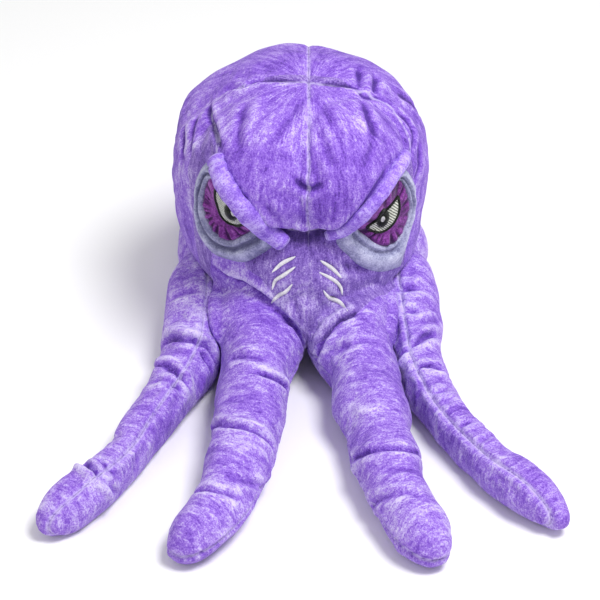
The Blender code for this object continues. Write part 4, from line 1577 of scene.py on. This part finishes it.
def dress(pieces, tentacles, materials):
    """Gives each panel its thickness, its plush, and the body or joint that it follows."""
    for name, piece in pieces.items():
        base, _, part = name.rpartition("_")
        points = points_of(piece)
        # The face gets the darker, greyer plush: painted shade
        look = "snout_plush" if base == "face" else "violet_plush"
        nap = nap_of_head(points)
        if base in tentacles:
            look = "tentacle_plush"
            nap = nap_of_tentacle(tentacles[base], points)
            # Painted light: the tentacles are painted paler
            store(piece.data, "relief", read(piece.data, "relief") + TENTACLE_PAINTED_LIGHT)
        store(piece.data, "nap", nap)
        thicken(piece)
        piece.data.set_sharp_from_angle(angle=SHARP)
        piece.data.materials.clear()
        piece.data.materials.append(materials[look])
        if base in tentacles:
            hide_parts(name + "_casing", name + "_stuffing")
            if part == "lower":
                bend_elbow(piece, tentacles[base])
            else:
                bend_root(piece, base)
        else:
            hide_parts(name)
            if base in BENT_PANELS:
                bend_root(piece, BENT_PANELS[base] + "_" + part)
            else:
                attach(piece, "body")
    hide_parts("head_stuffing")


def add_lining(tentacle, plush):
    """The stuffed bag inside a front or rear root, which closes the body where two roots part."""
    lining = add_mesh(tentacle.name + "_lining", tentacle.solid(LINING_INSET, LINING_REACH))
    refine(lining)
    store_pile(lining.data, nap_of_tentacle(tentacle, points_of(lining)))
    lining.data.shade_smooth()
    lining.data.materials.append(plush)
    bend_root(lining, tentacle.name)


def add_base():
    """The felt disc under the body, with a rolled and stitched rim."""
    corner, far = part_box("base_panel")
    middle = (corner + far) / 2
    radius = (far.x - corner.x) / 2
    half = BASE_FELT / 2
    turns = full_turn(BASE_SEGMENTS)
    stitch = 1 + 0.25 * np.sin(BASE_SEGMENTS / 6 * turns)
    grid = [
        np.column_stack([
            middle.x + share * radius * np.cos(turns), middle.y + share * radius * np.sin(turns),
            corner.z + half + half * rise * (stitch if rise == STITCHED_ROW else np.ones(BASE_SEGMENTS)),
        ]) for share, rise in BASE_ROWS
    ]
    base = tube_piece("base_felt", grid)
    base.data.materials.append(felt_material())
    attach(base, "body")
    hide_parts("base_panel")


def build():
    add_camera()
    add_studio()
    materials = {name: plush_material(name, *look) for name, look in PLUSHES.items()}
    materials |= {name: thread_material(name, *look) for name, look in THREADS.items()}
    tentacles = {name: Tentacle(name) for name in (*TENTACLES, *MIRRORED)}
    grown = [tentacle for name, tentacle in tentacles.items() if "side" not in name]
    sewn_on = [tentacle for name, tentacle in tentacles.items() if "side" in name]
    bulges = [ellipsoid(*metres(bulge)) for bulge in BULGES]
    trunk = volume("trunk", [ball(head_shape), *bulges, *(t.solid() for t in grown)], VOXEL)
    fields = trunk_fields(points_of(trunk))
    swell(trunk, (fields["middle"], fields["back"], np.where(fields["back"] < 0, fields["forehead"], 1.0)))
    refine(trunk)
    pieces, surface = sculpt_trunk(trunk, tentacles)
    for tentacle in sewn_on:
        item = volume(tentacle.name, [tentacle.solid()], SIDE_VOXEL)
        across = tentacle.place(points_of(item)).across
        swell(item, [across + SEAM_OFFSETS.get(tentacle.name, 0.0)])
        refine(item)
        pieces.update(sculpt_side(item, tentacle))
    dress(pieces, tentacles, materials)
    for tentacle in grown:
        add_lining(tentacle, materials["violet_plush"])
    add_base()
    add_features(surface, materials)


build()
